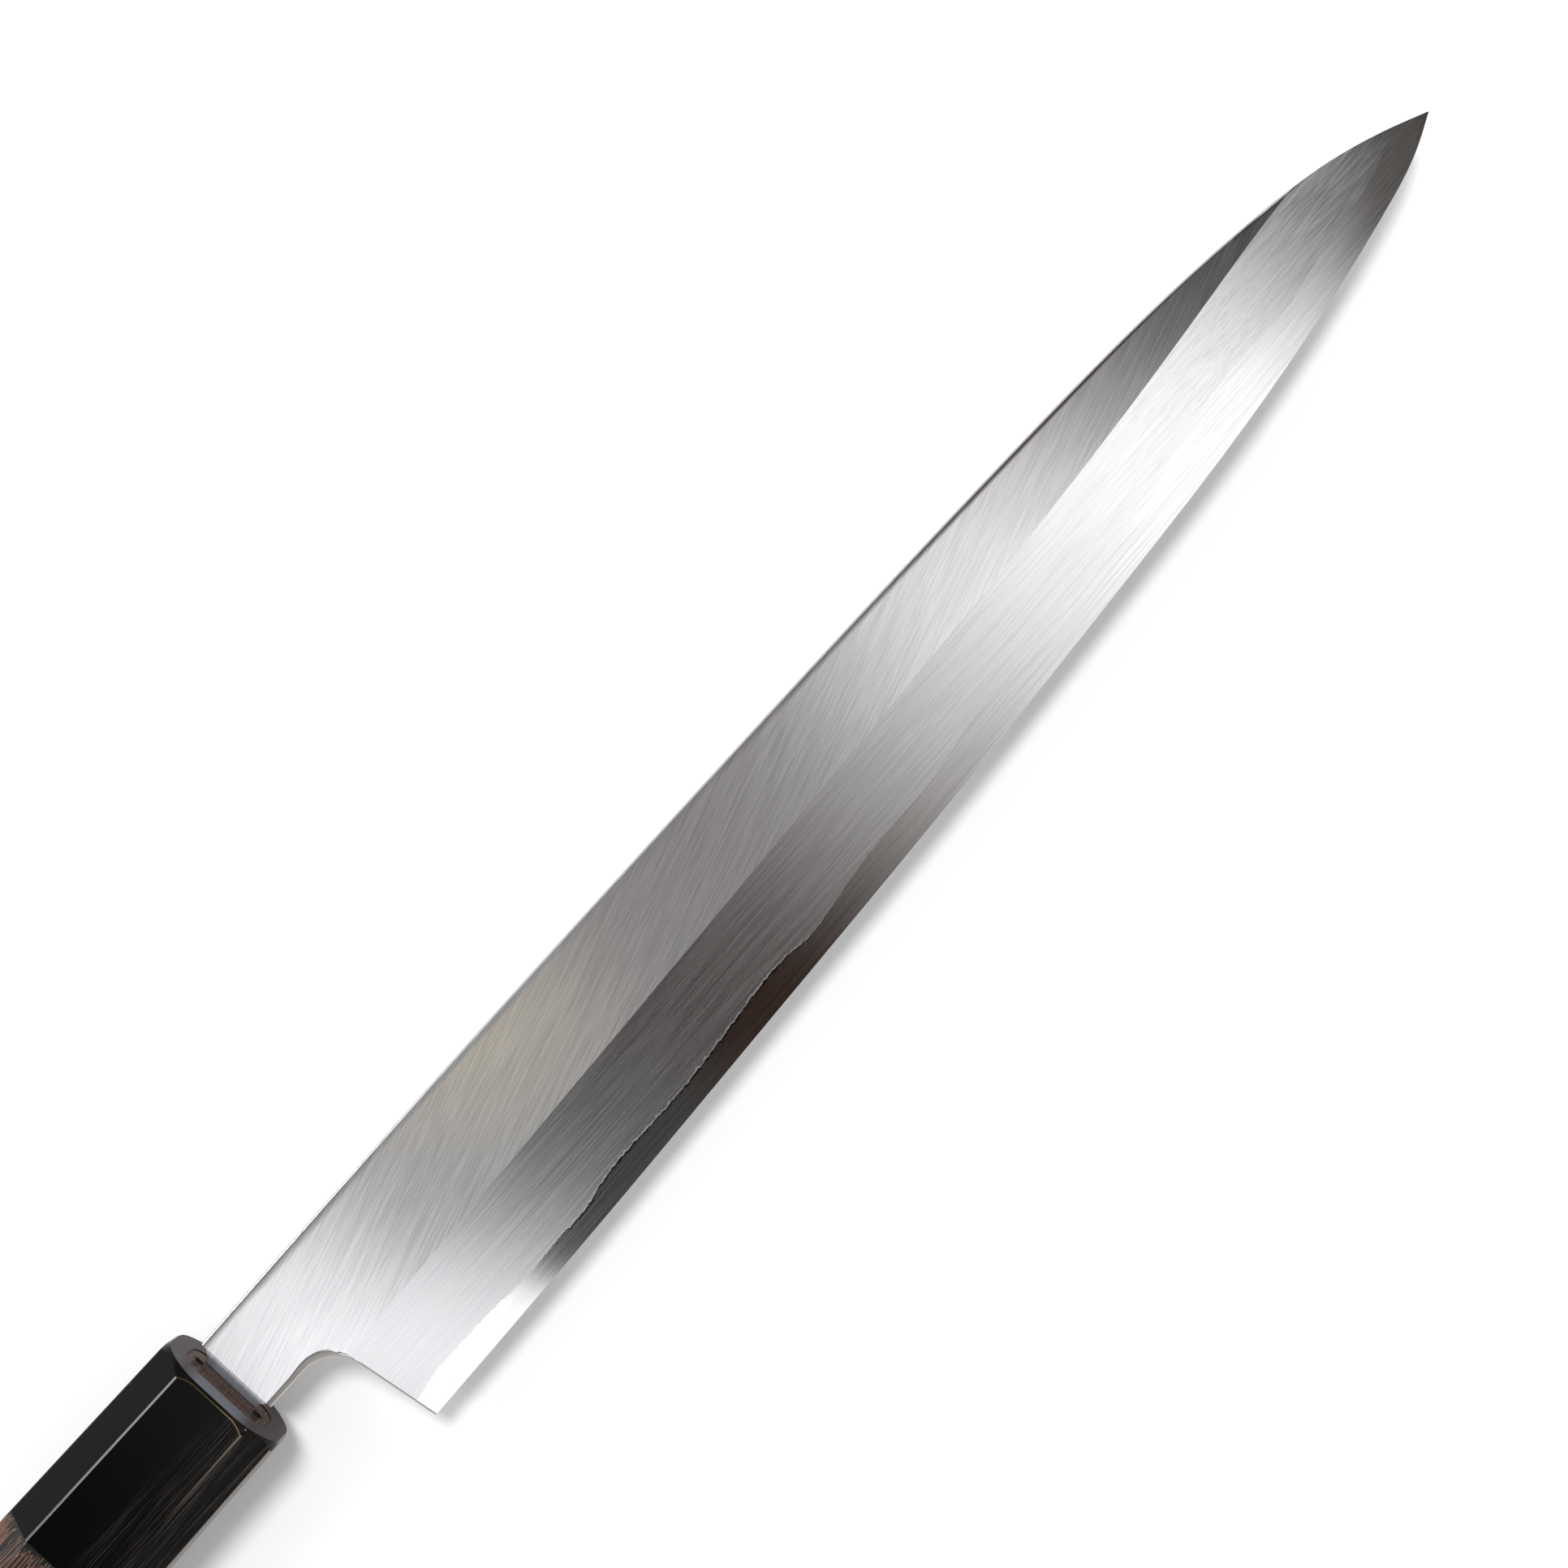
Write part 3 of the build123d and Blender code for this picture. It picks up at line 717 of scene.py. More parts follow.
# Dark striped hardwood, planed and oiled: brown with near-black bars and short pale pores along the grain.
# Where it meets the horn, black runs into it in ragged teeth with torn pale fibres
grip = {
    "inset": 1.2, "slope": 0.793, "roundShare": 0.3, "tenonEndX": -84.6, "tailLength": 6.0,
    "slotWidth": 6.9, "slotThickness": 2.9, "slotRadius": 0.4, "slotEndX": -115.0,
    "stripe": (70.0, 1.3), "stripeBend": 0.4, "stripeSpread": (0.3, 0.7, -3, 3), "bar": 0.64, "barLean": 0.8,
    "barEdge": (-0.2, 0.3), "barTone": "#120c0a",
    "fibre": (9.0, 0.14), "fibreSpread": (0.3, 0.7), "tones": ("#694737", "#8a6452"),
    "pore": (7.0, 0.12), "poreSpread": (0.68, 0.74, 0, 0.5), "poreTone": "#b4937a",
    "tooth": (5.0, 0.22), "toothLength": (0.2, 2.6), "toothEdge": (-0.05, 0.05), "blackTone": "#100e0e",
    "tornEdge": (0.15, 0.4), "tornSpread": (0.5, 0.6, 0, 0.8), "tornTone": "#d8bd98",
    "gloss": (0.48, 0.32), "ior": 1.45, "relief": 0.006,
}


# The painted shade of the holes, as a share of black
def mouthHoleShade(tree):
    place = addNode(tree, "TexCoord", output="Object")
    wander = addNode(tree, "TexNoise", {"Vector": place, "Scale": 1 / (holeShade["wanderSize"] * mm)})
    share = 0.0
    for across in holeShade["across"]:
        squashed = addNode(tree, "Mapping", {
            "Vector": place, "Location": toRow([holeShade["x"], axisY + across, holeShade["z"]]),
            "Scale": [radius * mm for radius in holeShade["radii"]]}, vector_type="TEXTURE")
        away = addNode(tree, "VectorMath", (squashed,), "Value", operation="LENGTH")
        away = addNode(tree, "Math", (wander, holeShade["wanderShare"], away), **timesPlus)
        oneHoleShade = addNode(tree, "MapRange", (away, *holeShade["edge"], 1, 0), **smooth)
        share = addNode(tree, "Math", (share, oneHoleShade), **largest)
    return share


def buffedHorn(horn):
    material, tree = newMaterial("hornBuffed")
    place = addNode(tree, "TexCoord", output="Object")
    x, y, z = addNode(tree, "SeparateXYZ", (place,), None).outputs
    sandedY = [axisRow[1] + up * mm for up in horn["sandedUp"]]
    sanded = addNode(tree, "MapRange", (y, *sandedY, 0, 1), **smooth)
    lines = drawnNoise(tree, horn["scratch"], detail=3.0)
    scratch = sanded
    groups = drawnNoise(tree, horn["group"], shift=15)
    for noise, spread in ((lines, "scratchSpread"), (groups, "groupSpread")):
        share = addNode(tree, "MapRange", (noise, *horn[spread]))
        scratch = addNode(tree, "Math", (scratch, share), **times)

    # Pale specks: small spots in a few of the cells
    spacing = {"Vector": place, "Scale": 1 / (horn["speckSpacing"] * mm)}
    cells = addNode(tree, "TexVoronoi", spacing, None).outputs
    chance = addNode(tree, "SeparateColor", (cells["Color"],))
    rare = addNode(tree, "Math", (chance, 1 - horn["speckChance"]), operation="GREATER_THAN")
    small = addNode(tree, "Math", (cells["Distance"], horn["speckShare"]), operation="LESS_THAN")
    speck = addNode(tree, "Math", (rare, small), **times)

    # Painted highlights: a cream line on the strips round the front face where they face up, and a pale line
    # on the arrises near the face, which run level along the handle
    faceNormal = addNode(tree, "NewGeometry", output="True Normal")
    normalX, normalY, normalZ = addNode(tree, "SeparateXYZ", (faceNormal,), None).outputs
    marked = addNode(tree, "Attribute", output="Fac", attribute_name="worn")
    marked = addNode(tree, "Math", (marked, 0.5), operation="GREATER_THAN")
    upward = addNode(tree, "MapRange", (normalZ, *horn["wornNormal"], 0, 1))
    highlightMore = addNode(tree, "MapRange", (sanded, 0, 1, *horn["wornShares"]))
    tilt = addNode(tree, "Math", (normalX,), operation="ABSOLUTE")
    level = addNode(tree, "Math", (tilt, horn["levelNormal"]), operation="LESS_THAN")
    behind = addNode(tree, "Math", ((handle["faceX"] + drawingOrigin[0]) * mm, x), **minus)
    nearFace = addNode(tree, "MapRange", (behind, 0, horn["frontLength"] * mm, horn["frontHighlightShare"], 0))
    frontArris, upArris = (
        addNode(tree, "Math", (normalY, side * horn["arrisNormal"], horn["arrisSpread"]), operation="COMPARE")
        for side in (-1, 1))
    upArris = addNode(tree, "Math", (level, upArris), **times)

    # Painted reflection of the floor: a pale line on the lowest arris on the edge's side, found by its
    # steepness seen from the axis
    height = addNode(tree, "Math", (z, axisRow[2]), **minus)
    above = addNode(tree, "Math", (height, 0.0), operation="GREATER_THAN")
    steep = addNode(tree, "Math", (axisRow[1], y), **minus)
    steep = addNode(tree, "Math", (height, steep), operation="DIVIDE")
    pastStart = addNode(tree, "Math", (steep, horn["lowStart"]), operation="GREATER_THAN")
    beforeEnd = addNode(tree, "MapRange", (steep, *horn["lowEnd"], horn["lowReflectionShare"], 0))

    # The sawn front face, painted blue-grey as a sheen that is greyer in the middle, with the painted shade
    # of the holes
    endGrain = addNode(tree, "MapRange", (normalX, *horn["faceNormal"], 0, 1))
    fromAxis = addNode(tree, "Math", (y, axisRow[1]), **minus)
    fromAxis = addNode(tree, "Math", (fromAxis,), operation="ABSOLUTE")
    start, end = horn["outerStart"]
    outer = addNode(tree, "MapRange", (fromAxis, start * mm, end * mm, 0, 1), **smooth)
    holeShadeShare = mouthHoleShade(tree)
    colour = layered(
        tree, horn["hornTone"], (horn["scratchTone"], scratch), (horn["speckTone"], speck),
        (horn["wornTone"], marked, upward, highlightMore), (horn["frontHighlightTone"], nearFace, level, frontArris),
        (horn["lowReflectionTone"], level, above, pastStart, beforeEnd), (horn["faceSheenTone"], endGrain),
        (horn["outerSheenTone"], endGrain, outer), (horn["holeShadeTone"], holeShadeShare))
    dulled = scratch
    for share in (speck, endGrain, holeShadeShare):
        dulled = addNode(tree, "Math", (dulled, share), **largest)
    finished(tree, {"Base Color": colour, "IOR": horn["ior"],
                    "Roughness": addNode(tree, "MapRange", (dulled, 0, 1, *horn["gloss"])),
                    "Specular IOR Level": addNode(tree, "MapRange", (upArris, 0, 1, *horn["shine"]))},
             lines, horn["relief"])
    return material


def tenonWithHoleShade(wood):
    material, tree = newMaterial("tenonHoleShaded")
    grain = drawnNoise(tree, wood["grain"], detail=3.0, depth=wood["grainDepth"])
    share = addNode(tree, "MapRange", (grain, *noiseSpread, 0, 1))
    colour = layered(tree, wood["tones"][0], (wood["tones"][1], share), (wood["holeShadeTone"], mouthHoleShade(tree)))
    dull = {"Base Color": colour, "Roughness": wood["rough"], "IOR": wood["ior"]}
    finished(tree, dull, grain, wood["relief"])
    return material


def stripedHardwood(wood):
    material, tree = newMaterial("hardwoodStriped")
    _, y, z = addNode(tree, "SeparateXYZ", (addNode(tree, "TexCoord", output="Object"),), None).outputs
    across = addNode(tree, "Math", (z, wood["barLean"], y), **timesPlus)
    swing = drawnNoise(tree, wood["stripe"], detail=1.0, bend=wood["stripeBend"])
    swing = addNode(tree, "MapRange", (swing, *wood["stripeSpread"]))
    bars = addNode(tree, "Math", (across, 2 * math.pi / (wood["bar"] * mm), swing), **timesPlus)
    bars = addNode(tree, "Math", (bars,), operation="SINE")
    bars = addNode(tree, "MapRange", (bars, *wood["barEdge"], 0, 1), **smooth)
    fibres = drawnNoise(tree, wood["fibre"], shift=20, detail=3.0)
    pores = drawnNoise(tree, wood["pore"], shift=60, detail=0.0)
    pores = addNode(tree, "MapRange", (pores, *wood["poreSpread"]), **smooth)

    # Teeth of black at the joint, by how far in mm a point is behind the end of its tooth
    behind = addNode(tree, "Math", (drawingX(tree), -1.0, handle["jointX"]), **timesPlus)
    teeth = drawnNoise(tree, wood["tooth"], shift=33, detail=1.0)
    teeth = addNode(tree, "MapRange", (teeth, *noiseSpread, *wood["toothLength"]))
    behind = addNode(tree, "Math", (behind, teeth), **minus)
    black = addNode(tree, "MapRange", (behind, *wood["toothEdge"], 1, 0))
    off = addNode(tree, "Math", (behind,), operation="ABSOLUTE")
    torn = addNode(tree, "MapRange", (off, *wood["tornEdge"], 1, 0), **smooth)
    pale = addNode(tree, "MapRange", (fibres, *wood["tornSpread"]))
    fibreShare = addNode(tree, "MapRange", (fibres, *wood["fibreSpread"], 0, 1))
    colour = layered(tree, wood["tones"][0], (wood["tones"][1], fibreShare), (wood["barTone"], bars),
                     (wood["poreTone"], pores), (wood["blackTone"], black), (wood["tornTone"], torn, pale))
    rough = addNode(tree, "MapRange", (fibres, *noiseSpread, *wood["gloss"]))
    finished(tree, {"Base Color": colour, "Roughness": rough, "IOR": wood["ior"]}, fibres, wood["relief"])
    return material


def addInputs(tree, values):
    for name, value in values.items():
        isMaterial = isinstance(value, bpy.types.Material)
        kind = "NodeSocketMaterial" if isMaterial else "NodeSocketFloat"
        socket = tree.interface.new_socket(name, in_out="INPUT", socket_type=kind)
        if not isMaterial:
            socket.default_value = value
    return addNode(tree, "NodeGroupInput", output=None).outputs


# Group that puts a point of the section in its place along the handle, with the handle's taper
def sectionGroup():
    tree = bpy.data.node_groups.new("handleSection", "GeometryNodeTree")
    tree.interface.new_socket("Outline", in_out="INPUT", socket_type="NodeSocketVector")
    given = addInputs(tree, {"X": 0.0, "Face X": 0.0, "Length": 1.0, "Width Growth": 0.0,
                             "Thickness Growth": 0.0, "Axis Y": 0.0, "Axis Z": 0.0})
    tree.interface.new_socket("Position", in_out="OUTPUT", socket_type="NodeSocketVector")
    behind = addNode(tree, "Math", (given["Face X"], given["X"]), **minus)
    share = addNode(tree, "Math", (behind, given["Length"]), operation="DIVIDE")
    parts = addNode(tree, "SeparateXYZ", (given["Outline"],), None).outputs
    grown = []
    for part, growth, axis in (("X", "Width Growth", "Axis Y"), ("Y", "Thickness Growth", "Axis Z")):
        scale = addNode(tree, "Math", (share, given[growth], 1.0), **timesPlus)
        grown.append(addNode(tree, "Math", (parts[part], scale, given[axis]), **timesPlus))
    place = addNode(tree, "CombineXYZ", (given["X"], *grown))
    addNode(tree, "NodeGroupOutput", (place,), None)
    return tree


# A tree that runs the section from loop to loop. A loop is (outline, where along the handle, how many steps)
def handleTree(name, values, loops):
    tree = bpy.data.node_groups.new(name, "GeometryNodeTree")
    tree.interface.new_socket("Geometry", in_out="INPUT", socket_type="NodeSocketGeometry")
    given = addInputs(tree, values)
    tree.interface.new_socket("Geometry", in_out="OUTPUT", socket_type="NodeSocketGeometry")

    def outlineCurve(size, count):
        curve = addNode(tree, "GeometryNodeCurvePrimitiveQuadrilateral",
                        {"Width": given[size + " Width"], "Height": given[size + " Thickness"]})
        for corner, points in ((size + " Bevel", 1), (size + " Radius", count)):
            if corner in given:
                curve = addNode(tree, "GeometryNodeFilletCurve",
                                {"Curve": curve, "Count": points, "Radius": given[corner]}, mode="POLY")
        return curve

    def section(outline, x, straight=False):
        taper = () if straight else ("Face X", "Length", "Width Growth", "Thickness Growth")
        shared = {socket: given[socket] for socket in (*taper, "Axis Y", "Axis Z")}
        placed = {"Outline": outline, "X": x, **shared}
        return addNode(tree, "GeometryNodeGroup", placed, node_tree=sectionTree)

    # The planed section, with points between its corners no further apart than the spacing
    here = addNode(tree, "GeometryNodeInputPosition")
    following = addNode(tree, "GeometryNodeOffsetPointInCurve",
                        {"Point Index": addNode(tree, "GeometryNodeInputIndex"), "Offset": 1}, "Point Index")
    nextPlace = addNode(tree, "GeometryNodeFieldAtIndex", {"Value": here, "Index": following},
                        data_type="FLOAT_VECTOR")
    gap = addNode(tree, "VectorMath", (here, nextPlace), "Value", operation="DISTANCE")
    many = addNode(tree, "Math", (gap, given["Point Spacing"]), operation="DIVIDE")
    cuts = addNode(tree, "FunctionNodeFloatToInt", (many,), rounding_mode="FLOOR")
    planed = addNode(tree, "GeometryNodeSubdivideCurve", {"Curve": outlineCurve("Planed", 1), "Cuts": cuts})
    geometry = addNode(tree, "GeometryNodeCurveToMesh", {"Curve": planed})

    # Each point keeps its own place in the section, and the nearest places on the other outlines
    def keep(attribute, value, kind="FLOAT_VECTOR"):
        nonlocal geometry
        geometry = addNode(tree, "GeometryNodeStoreNamedAttribute",
                           {"Geometry": geometry, "Name": attribute, "Value": value}, data_type=kind)
        return addNode(tree, "GeometryNodeInputNamedAttribute", {"Name": attribute}, data_type=kind)

    outlines = {"planed": keep("planed", here)}
    atRound = section(outlines["planed"], given["Round X"])
    for size, count in (("Round", 10), ("Bore", 8), ("Slot", 3)):
        if size + " Width" not in given:
            continue
        flat = addNode(tree, "GeometryNodeCurveToMesh", {"Curve": outlineCurve(size, count)})
        placed = addNode(tree, "GeometryNodeSetPosition",
                         {"Geometry": flat, "Position": section(here, given["Round X"], True)})
        nearest = addNode(tree, "GeometryNodeProximity", {0: placed, 2: atRound}, None,
                          target_element="EDGES").outputs
        if size == "Round":
            away = keep("away", nearest["Distance"], "FLOAT")
        outlines[size.lower()] = keep(size.lower(), nearest["Position"])
    outlines["centre"] = addNode(tree, "CombineXYZ", {"Y": given["Axis Y"], "Z": given["Axis Z"]})
    crease = addNode(tree, "Math", (away, given["Round Slope"], given["Round X"]), **timesPlus)

    def place(outline, x):
        if outline == "planed":
            return section(outlines[outline], x)
        parts = addNode(tree, "SeparateXYZ", (outlines[outline],), None).outputs
        return addNode(tree, "CombineXYZ", (x, parts["Y"], parts["Z"]))

    # A place a few worn widths beside the crease: before it on the end's chamfer, after it on the facets
    def besideCrease(steps):
        if steps > 0:
            back = addNode(tree, "Math", (given["Worn Step"], float(steps), crease), **timesPlus)
            return place("planed", back)
        corner = place("planed", crease)
        toward = addNode(tree, "VectorMath", (place("round", given["Round X"]), corner), **minus)
        toward = addNode(tree, "VectorMath", (toward,), operation="NORMALIZE")
        width = addNode(tree, "Math", (given["Worn Width"], float(-steps)), **times)
        toward = addNode(tree, "VectorMath", {0: toward, "Scale": width}, operation="SCALE")
        return addNode(tree, "VectorMath", (corner, toward), operation="ADD")

    top, lastX = None, None
    for outline, where, steps in loops:
        x = crease if outline == "crease" else given[where]
        for step in range(1, steps + 1):
            stepX = addNode(tree, "Mix", {0: step / steps, 2: lastX, 3: x}) if step < steps else x
            spot = besideCrease(where) if outline == "crease" else place(outline, stepX)
            moving = {"Geometry": geometry, "Position": spot}
            if lastX is not None:
                grown = {"Mesh": geometry, "Offset Scale": 0.0, **({} if top is None else {"Selection": top})}
                extruded = addNode(tree, "GeometryNodeExtrudeMesh", grown, None, mode="EDGES").outputs
                top = extruded["Top"]
                moving = {"Geometry": extruded[0], "Position": spot, "Selection": top}
            # The strips beside the crease are marked, and the horn's material paints a highlight on them
            # where they face up
            onHighlightStrip = outline == "crease" and abs(where) == 1
            marks = {"Geometry": addNode(tree, "GeometryNodeSetPosition", moving), "Name": "worn",
                     "Value": 1.0 if onHighlightStrip else 0.0, **({} if top is None else {"Selection": top})}
            geometry = addNode(tree, "GeometryNodeStoreNamedAttribute", marks, data_type="FLOAT")
        lastX = x

    joined = addNode(tree, "GeometryNodeMergeByDistance",
                     {"Geometry": geometry, "Distance": handle["mergeMetres"]})
    softened = addNode(tree, "GeometryNodeSetShadeSmooth", {"Geometry": joined}, domain="FACE")
    bend = addNode(tree, "GeometryNodeInputMeshEdgeAngle", output="Unsigned Angle")
    sharp = addNode(tree, "Math", (bend, math.radians(handle["creaseDegrees"])), operation="GREATER_THAN")
    creased = addNode(tree, "GeometryNodeSetShadeSmooth",
                      {"Geometry": softened, "Selection": sharp, "Shade Smooth": False}, domain="EDGE")
    real = addNode(tree, "GeometryNodeRealizeInstances", {"Geometry": creased})
    dressed = addNode(tree, "GeometryNodeSetMaterial", {"Geometry": real, "Material": given["Material"]})
    addNode(tree, "NodeGroupOutput", (dressed,), None)
    return tree


# Runs a tree on an empty mesh and keeps the result as a plain mesh
def pieceFromTree(name, tree, values):
    maker = newObject(name + "Maker", bpy.data.meshes.new(name + "Maker"))
    modifier = maker.modifiers.new(name, "NODES")
    modifier.node_group = tree
    for item in tree.interface.items_tree:
        if item.in_out == "INPUT" and item.name in values:
            modifier[item.identifier] = values[item.name]
    depsgraph = bpy.context.evaluated_depsgraph_get()
    mesh = bpy.data.meshes.new_from_object(maker.evaluated_get(depsgraph))
    maker.modifiers.remove(modifier)
    bpy.data.objects.remove(maker)
    for attribute in ("planed", "away", "round", "bore", "slot"):
        if attribute in mesh.attributes:
            mesh.attributes.remove(mesh.attributes[attribute])
    mesh.name = name
    bm = bmesh.new()
    bm.from_mesh(mesh)
    volume = round(bm.calc_volume(signed=True) / mm ** 3)
    print(name, len(mesh.polygons), "faces,", openEdges(bm), "open edges, volume", volume)
    bm.free()
    return newObject(name, mesh)


# Inputs of a tree: the shared taper, then one piece's ends. Everything in metres, in the row's frame
def handleInputs(piece, near, far, end, side, material):
    inset, bevel = piece["inset"], handle[side + "Bevel"]
    turnShare = math.sqrt(2) / math.tan(math.radians(22.5))
    places = {"Face X": handle["faceX"], "Near X": handle[near], "Far X": handle[far], "Round X": handle[end]}
    lengths = {
        "Length": handle["faceX"] - handle["buttX"],
        "Axis Y": axisY + drawingOrigin[1], "Axis Z": drawingOrigin[2],
        "Planed Width": handle["frontWidth"], "Planed Thickness": handle["frontThickness"],
        "Planed Bevel": handle["frontBevel"], "Planed Radius": handle["arrisRadius"],
        "Round Width": handle[side + "Width"] - 2 * inset,
        "Round Thickness": handle[side + "Thickness"] - 2 * inset,
        "Round Bevel": bevel - inset * (2 - math.sqrt(2)),
        "Round Radius": piece["roundShare"] * bevel * turnShare - inset,
        "Bore Width": handle["tenonWidth"], "Bore Thickness": handle["tenonThickness"],
        "Bore Radius": handle["tenonRadius"],
        "Point Spacing": handle["pointSpacing"], "Worn Width": handle["wornWidth"],
        "Worn Step": -handle["wornWidth"] if end == near else handle["wornWidth"],
    }
    if "slotWidth" in piece:
        places.update({"Tail X": handle["buttX"] + piece["tailLength"], "Bore End X": piece["tenonEndX"],
                       "Slot End X": piece["slotEndX"]})
        lengths.update({"Slot Width": piece["slotWidth"], "Slot Thickness": piece["slotThickness"],
                        "Slot Radius": piece["slotRadius"]})
    lengths.update({name: place + drawingOrigin[0] for name, place in places.items()})
    values = {name: float(value * mm) for name, value in lengths.items()}
    values["Width Growth"] = handle["buttWidth"] / handle["frontWidth"] - 1
    values["Thickness Growth"] = handle["buttThickness"] / handle["frontThickness"] - 1
    values["Round Slope"] = -piece["slope"] if end == near else piece["slope"]
    values["Material"] = material
    return values


sectionTree = sectionGroup()
nose = [("round", "Round X", 1), ("crease", -2, 1), ("crease", -1, 1), ("crease", 1, 1), ("crease", 2, 1),
        ("planed", "Far X", 6), ("bore", "Far X", 1), ("bore", "Round X", 1), ("round", "Round X", 1)]
butt = [("centre", "Slot End X", 1), ("slot", "Slot End X", 1), ("slot", "Bore End X", 1),
        ("bore", "Bore End X", 1), ("bore", "Near X", 1), ("planed", "Near X", 1), ("planed", "Tail X", 14),
        ("crease", 2, 1), ("crease", 1, 1), ("crease", -1, 1), ("crease", -2, 1), ("round", "Round X", 1),
        ("centre", "Round X", 1)]
noseValues = handleInputs(ferrule, "faceX", "jointX", "faceX", "front", buffedHorn(ferrule))
buttValues = handleInputs(grip, "jointX", "buttX", "buttX", "butt", stripedHardwood(grip))
ferruleHorn = pieceFromTree("ferruleHorn", handleTree("ferruleTree", noseValues, nose), noseValues)
gripWood = pieceFromTree("gripWood", handleTree("gripTree", buttValues, butt), buttValues)
for piece, node, slotName in ((ferruleHorn, "ferrule", "horn"), (gripWood, "handle_grip", "grip_wood")):
    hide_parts(node)
    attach(piece, "root")
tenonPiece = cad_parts["handle_tenon"]
tenonPiece.data.materials.clear()
tenonPiece.data.materials.append(tenonWithHoleShade(tenon))
print("handle made")

# Stage: a pale floor and a bright surround, with a dark ceiling that holds soft panels of light.
# Places in the ceiling are in degrees from straight up: across runs towards the tip, over towards the spine.
# Four places are where a panel starts to show, is full, starts to fade and is gone. Each border across is
# (where it is straight up, how far it moves for each degree over).

stage = {
    "floorSize": 6.0, "floorDrop": 0.0002,           # metres
    "floorTone": "#dcdcdc", "floorRough": 0.9, "floorShine": 0.1, "floorLift": 0.16,
    "surroundRise": (0.0, 0.8), "surroundShade": (0.42, 0.95),
    "ceilingAcross": (-27, -22, 40, 55), "ceilingOver": (-70, -55, 24, 40),
    "ceilingGrey": "#464545", "ceilingBrown": "#33251f", "brownAcross": (-6, -3.5, 8, 16),
    "lampTurn": (13.0, 16.0), "lampSoftness": 15.0, "lampStrength": 2.4,
}
panels = {
    "windowBox": {"across": ((-17.0, 0), (-15.2, 0), (-12.6, -0.045), (-11.0, -0.02)),
                  "over": (-42, -29, -4, 18), "strength": 1.5, "colour": "#fdfdff"},
    "keyBox": {"across": ((-0.2, 0.09), (8.2, -0.215), (6.0, -0.45), (14.2, -0.37)),
               "over": (-42, -30, -1, 14), "strength": 1.32, "colour": "#ffffff"},
    "paleCeiling": {"across": ((-13, 0), (-10, 0), (-4, 0), (12, 0)),
                    "over": (-14, -3, 20, 40), "strength": 0.23, "colour": "#fbfcff"},
    "greyPanel": {"across": ((-13, 0), (-10, 0), (-5.4, 0), (-4.6, 0)),
                  "over": (-14, -3, 20, 40), "strength": 0.05, "colour": "#ffffff"},
    "warmPanel": {"across": ((-6.9, -0.69), (-6.1, -0.69), (-6.4, 0), (-4.6, 0)),
                  "over": (0, 3.6, 5, 9), "strength": 0.24, "colour": "#ffdf74"},
    "tipPanel": {"across": ((15, 0), (18, 0), (28, 0), (34, 0)),
                 "over": (-36, -28, -12, -5), "strength": 0.05, "colour": "#fff2e6"},
    "stripBox": {"across": ((-32, 0), (-23, 0), (-17.2, 0), (-15.6, 0)),
                 "over": (34, 38, 54, 58), "strength": 10.0, "colour": "#edf1f6"},
}


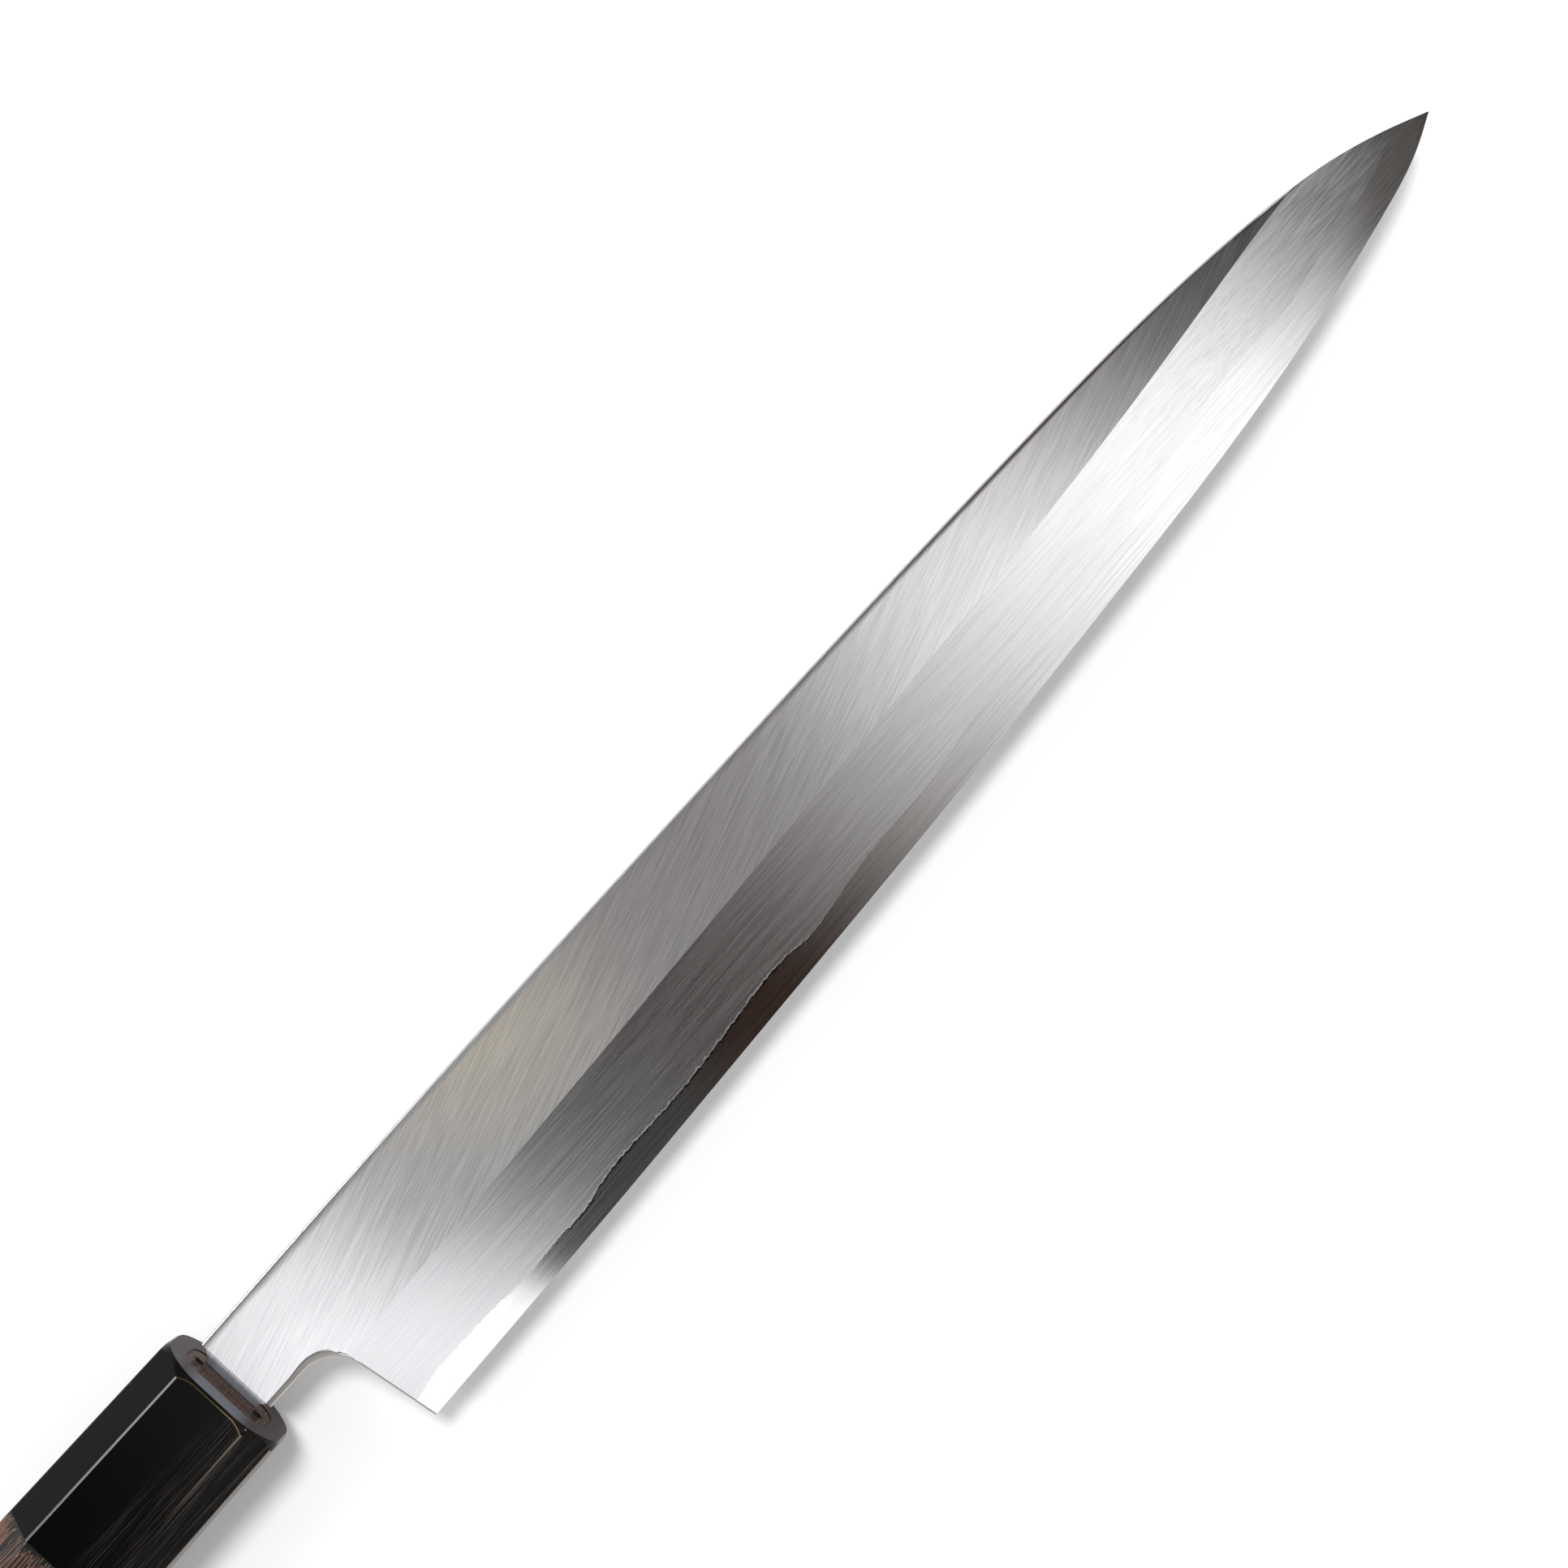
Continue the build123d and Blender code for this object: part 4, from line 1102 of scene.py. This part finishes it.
def studioWorld(sizes, boxes):
    world = bpy.data.worlds.new("studioWorld")
    world.use_nodes = True
    tree = world.node_tree
    tree.nodes.clear()
    toward = addNode(tree, "TexCoord", output="Generated")
    x, y, up = addNode(tree, "SeparateXYZ", (toward,), None).outputs
    across, over = (
        addNode(tree, "Math", (addNode(tree, "Math", (part, up), operation="ARCTAN2"),), operation="DEGREES")
        for part in (x, y))

    # Share that rises between the first two places and fades between the last two
    def between(value, places, strength=1.0):
        start, full, fading, end = places
        rise = addNode(tree, "MapRange", (value, start, full, 0, strength), **smooth)
        fall = addNode(tree, "MapRange", (value, fading, end, 1, 0), **smooth)
        return addNode(tree, "Math", (rise, fall), **times)

    brown = between(across, sizes["brownAcross"])
    ceiling = layered(tree, sizes["ceilingGrey"], (sizes["ceilingBrown"], brown))
    surround = addNode(tree, "MapRange", (up, *sizes["surroundRise"], *sizes["surroundShade"]))
    light = layered(tree, surround, (ceiling, between(across, sizes["ceilingAcross"]),
                                     between(over, sizes["ceilingOver"])))
    for box in boxes.values():
        borders = [addNode(tree, "Math", (over, lean, place), **timesPlus)
                   for place, lean in box["across"]]
        shares = between(across, borders), between(over, box["over"], box["strength"])
        share = addNode(tree, "Math", shares, **times)
        glow = {0: toLinear(box["colour"])[:3], "Scale": share}
        glow = addNode(tree, "VectorMath", glow, operation="SCALE")
        light = addNode(tree, "VectorMath", (light, glow), operation="ADD")
    shown = layered(tree, light, ("#ffffff", addNode(tree, "LightPath", output="Is Camera Ray")))
    background = addNode(tree, "Background", {"Color": shown, "Strength": 1.0})
    addNode(tree, "OutputWorld", {"Surface": background}, None)
    scene.world = world


# The floor is pale. What the camera and the metal see of it is lifted to white, and keeps the knife's shadow
def studioFloor(sizes):
    material, tree = newMaterial("floorPale")
    path = addNode(tree, "LightPath", output=None).outputs
    seen = path["Is Camera Ray"]
    for ray in ("Is Glossy Ray", "Is Transmission Ray"):
        seen = addNode(tree, "Math", (seen, path[ray]), **largest)
    lift = addNode(tree, "Math", (seen, sizes["floorLift"]), **times)
    finished(tree, {"Base Color": sizes["floorTone"], "Roughness": sizes["floorRough"],
                    "Specular IOR Level": sizes["floorShine"], "Emission Color": "#ffffff",
                    "Emission Strength": lift})
    bm = bmesh.new()
    bmesh.ops.create_grid(bm, x_segments=1, y_segments=1, size=sizes["floorSize"] / 2)
    bmesh.ops.translate(bm, verts=bm.verts, vec=(0, 0, cadBox[0][2] - sizes["floorDrop"]))
    mesh = bpy.data.meshes.new("studioFloor")
    bm.to_mesh(mesh)
    bm.free()
    mesh.materials.append(material)
    floor = newObject("studioFloor", mesh)
    return floor


# A soft overhead lamp that only the floor receives, for the short shadow on the edge's side
def shadowLamp(sizes, floor):
    data = bpy.data.lights.new("shadowLamp", "SUN")
    data.energy = sizes["lampStrength"]
    data.angle = math.radians(sizes["lampSoftness"])
    lamp = newObject("shadowLamp", data)
    across, over = (math.tan(math.radians(turn)) for turn in sizes["lampTurn"])
    lamp.rotation_euler = Vector((across, over, 1)).to_track_quat("Z", "Y").to_euler()
    lit = bpy.data.collections.new("floorOnly")
    lit.objects.link(floor)
    lamp.light_linking.receiver_collection = lit


studioWorld(stage, panels)
shadowLamp(stage, studioFloor(stage))
scene.view_settings.view_transform = "Standard"
print("stage lit")
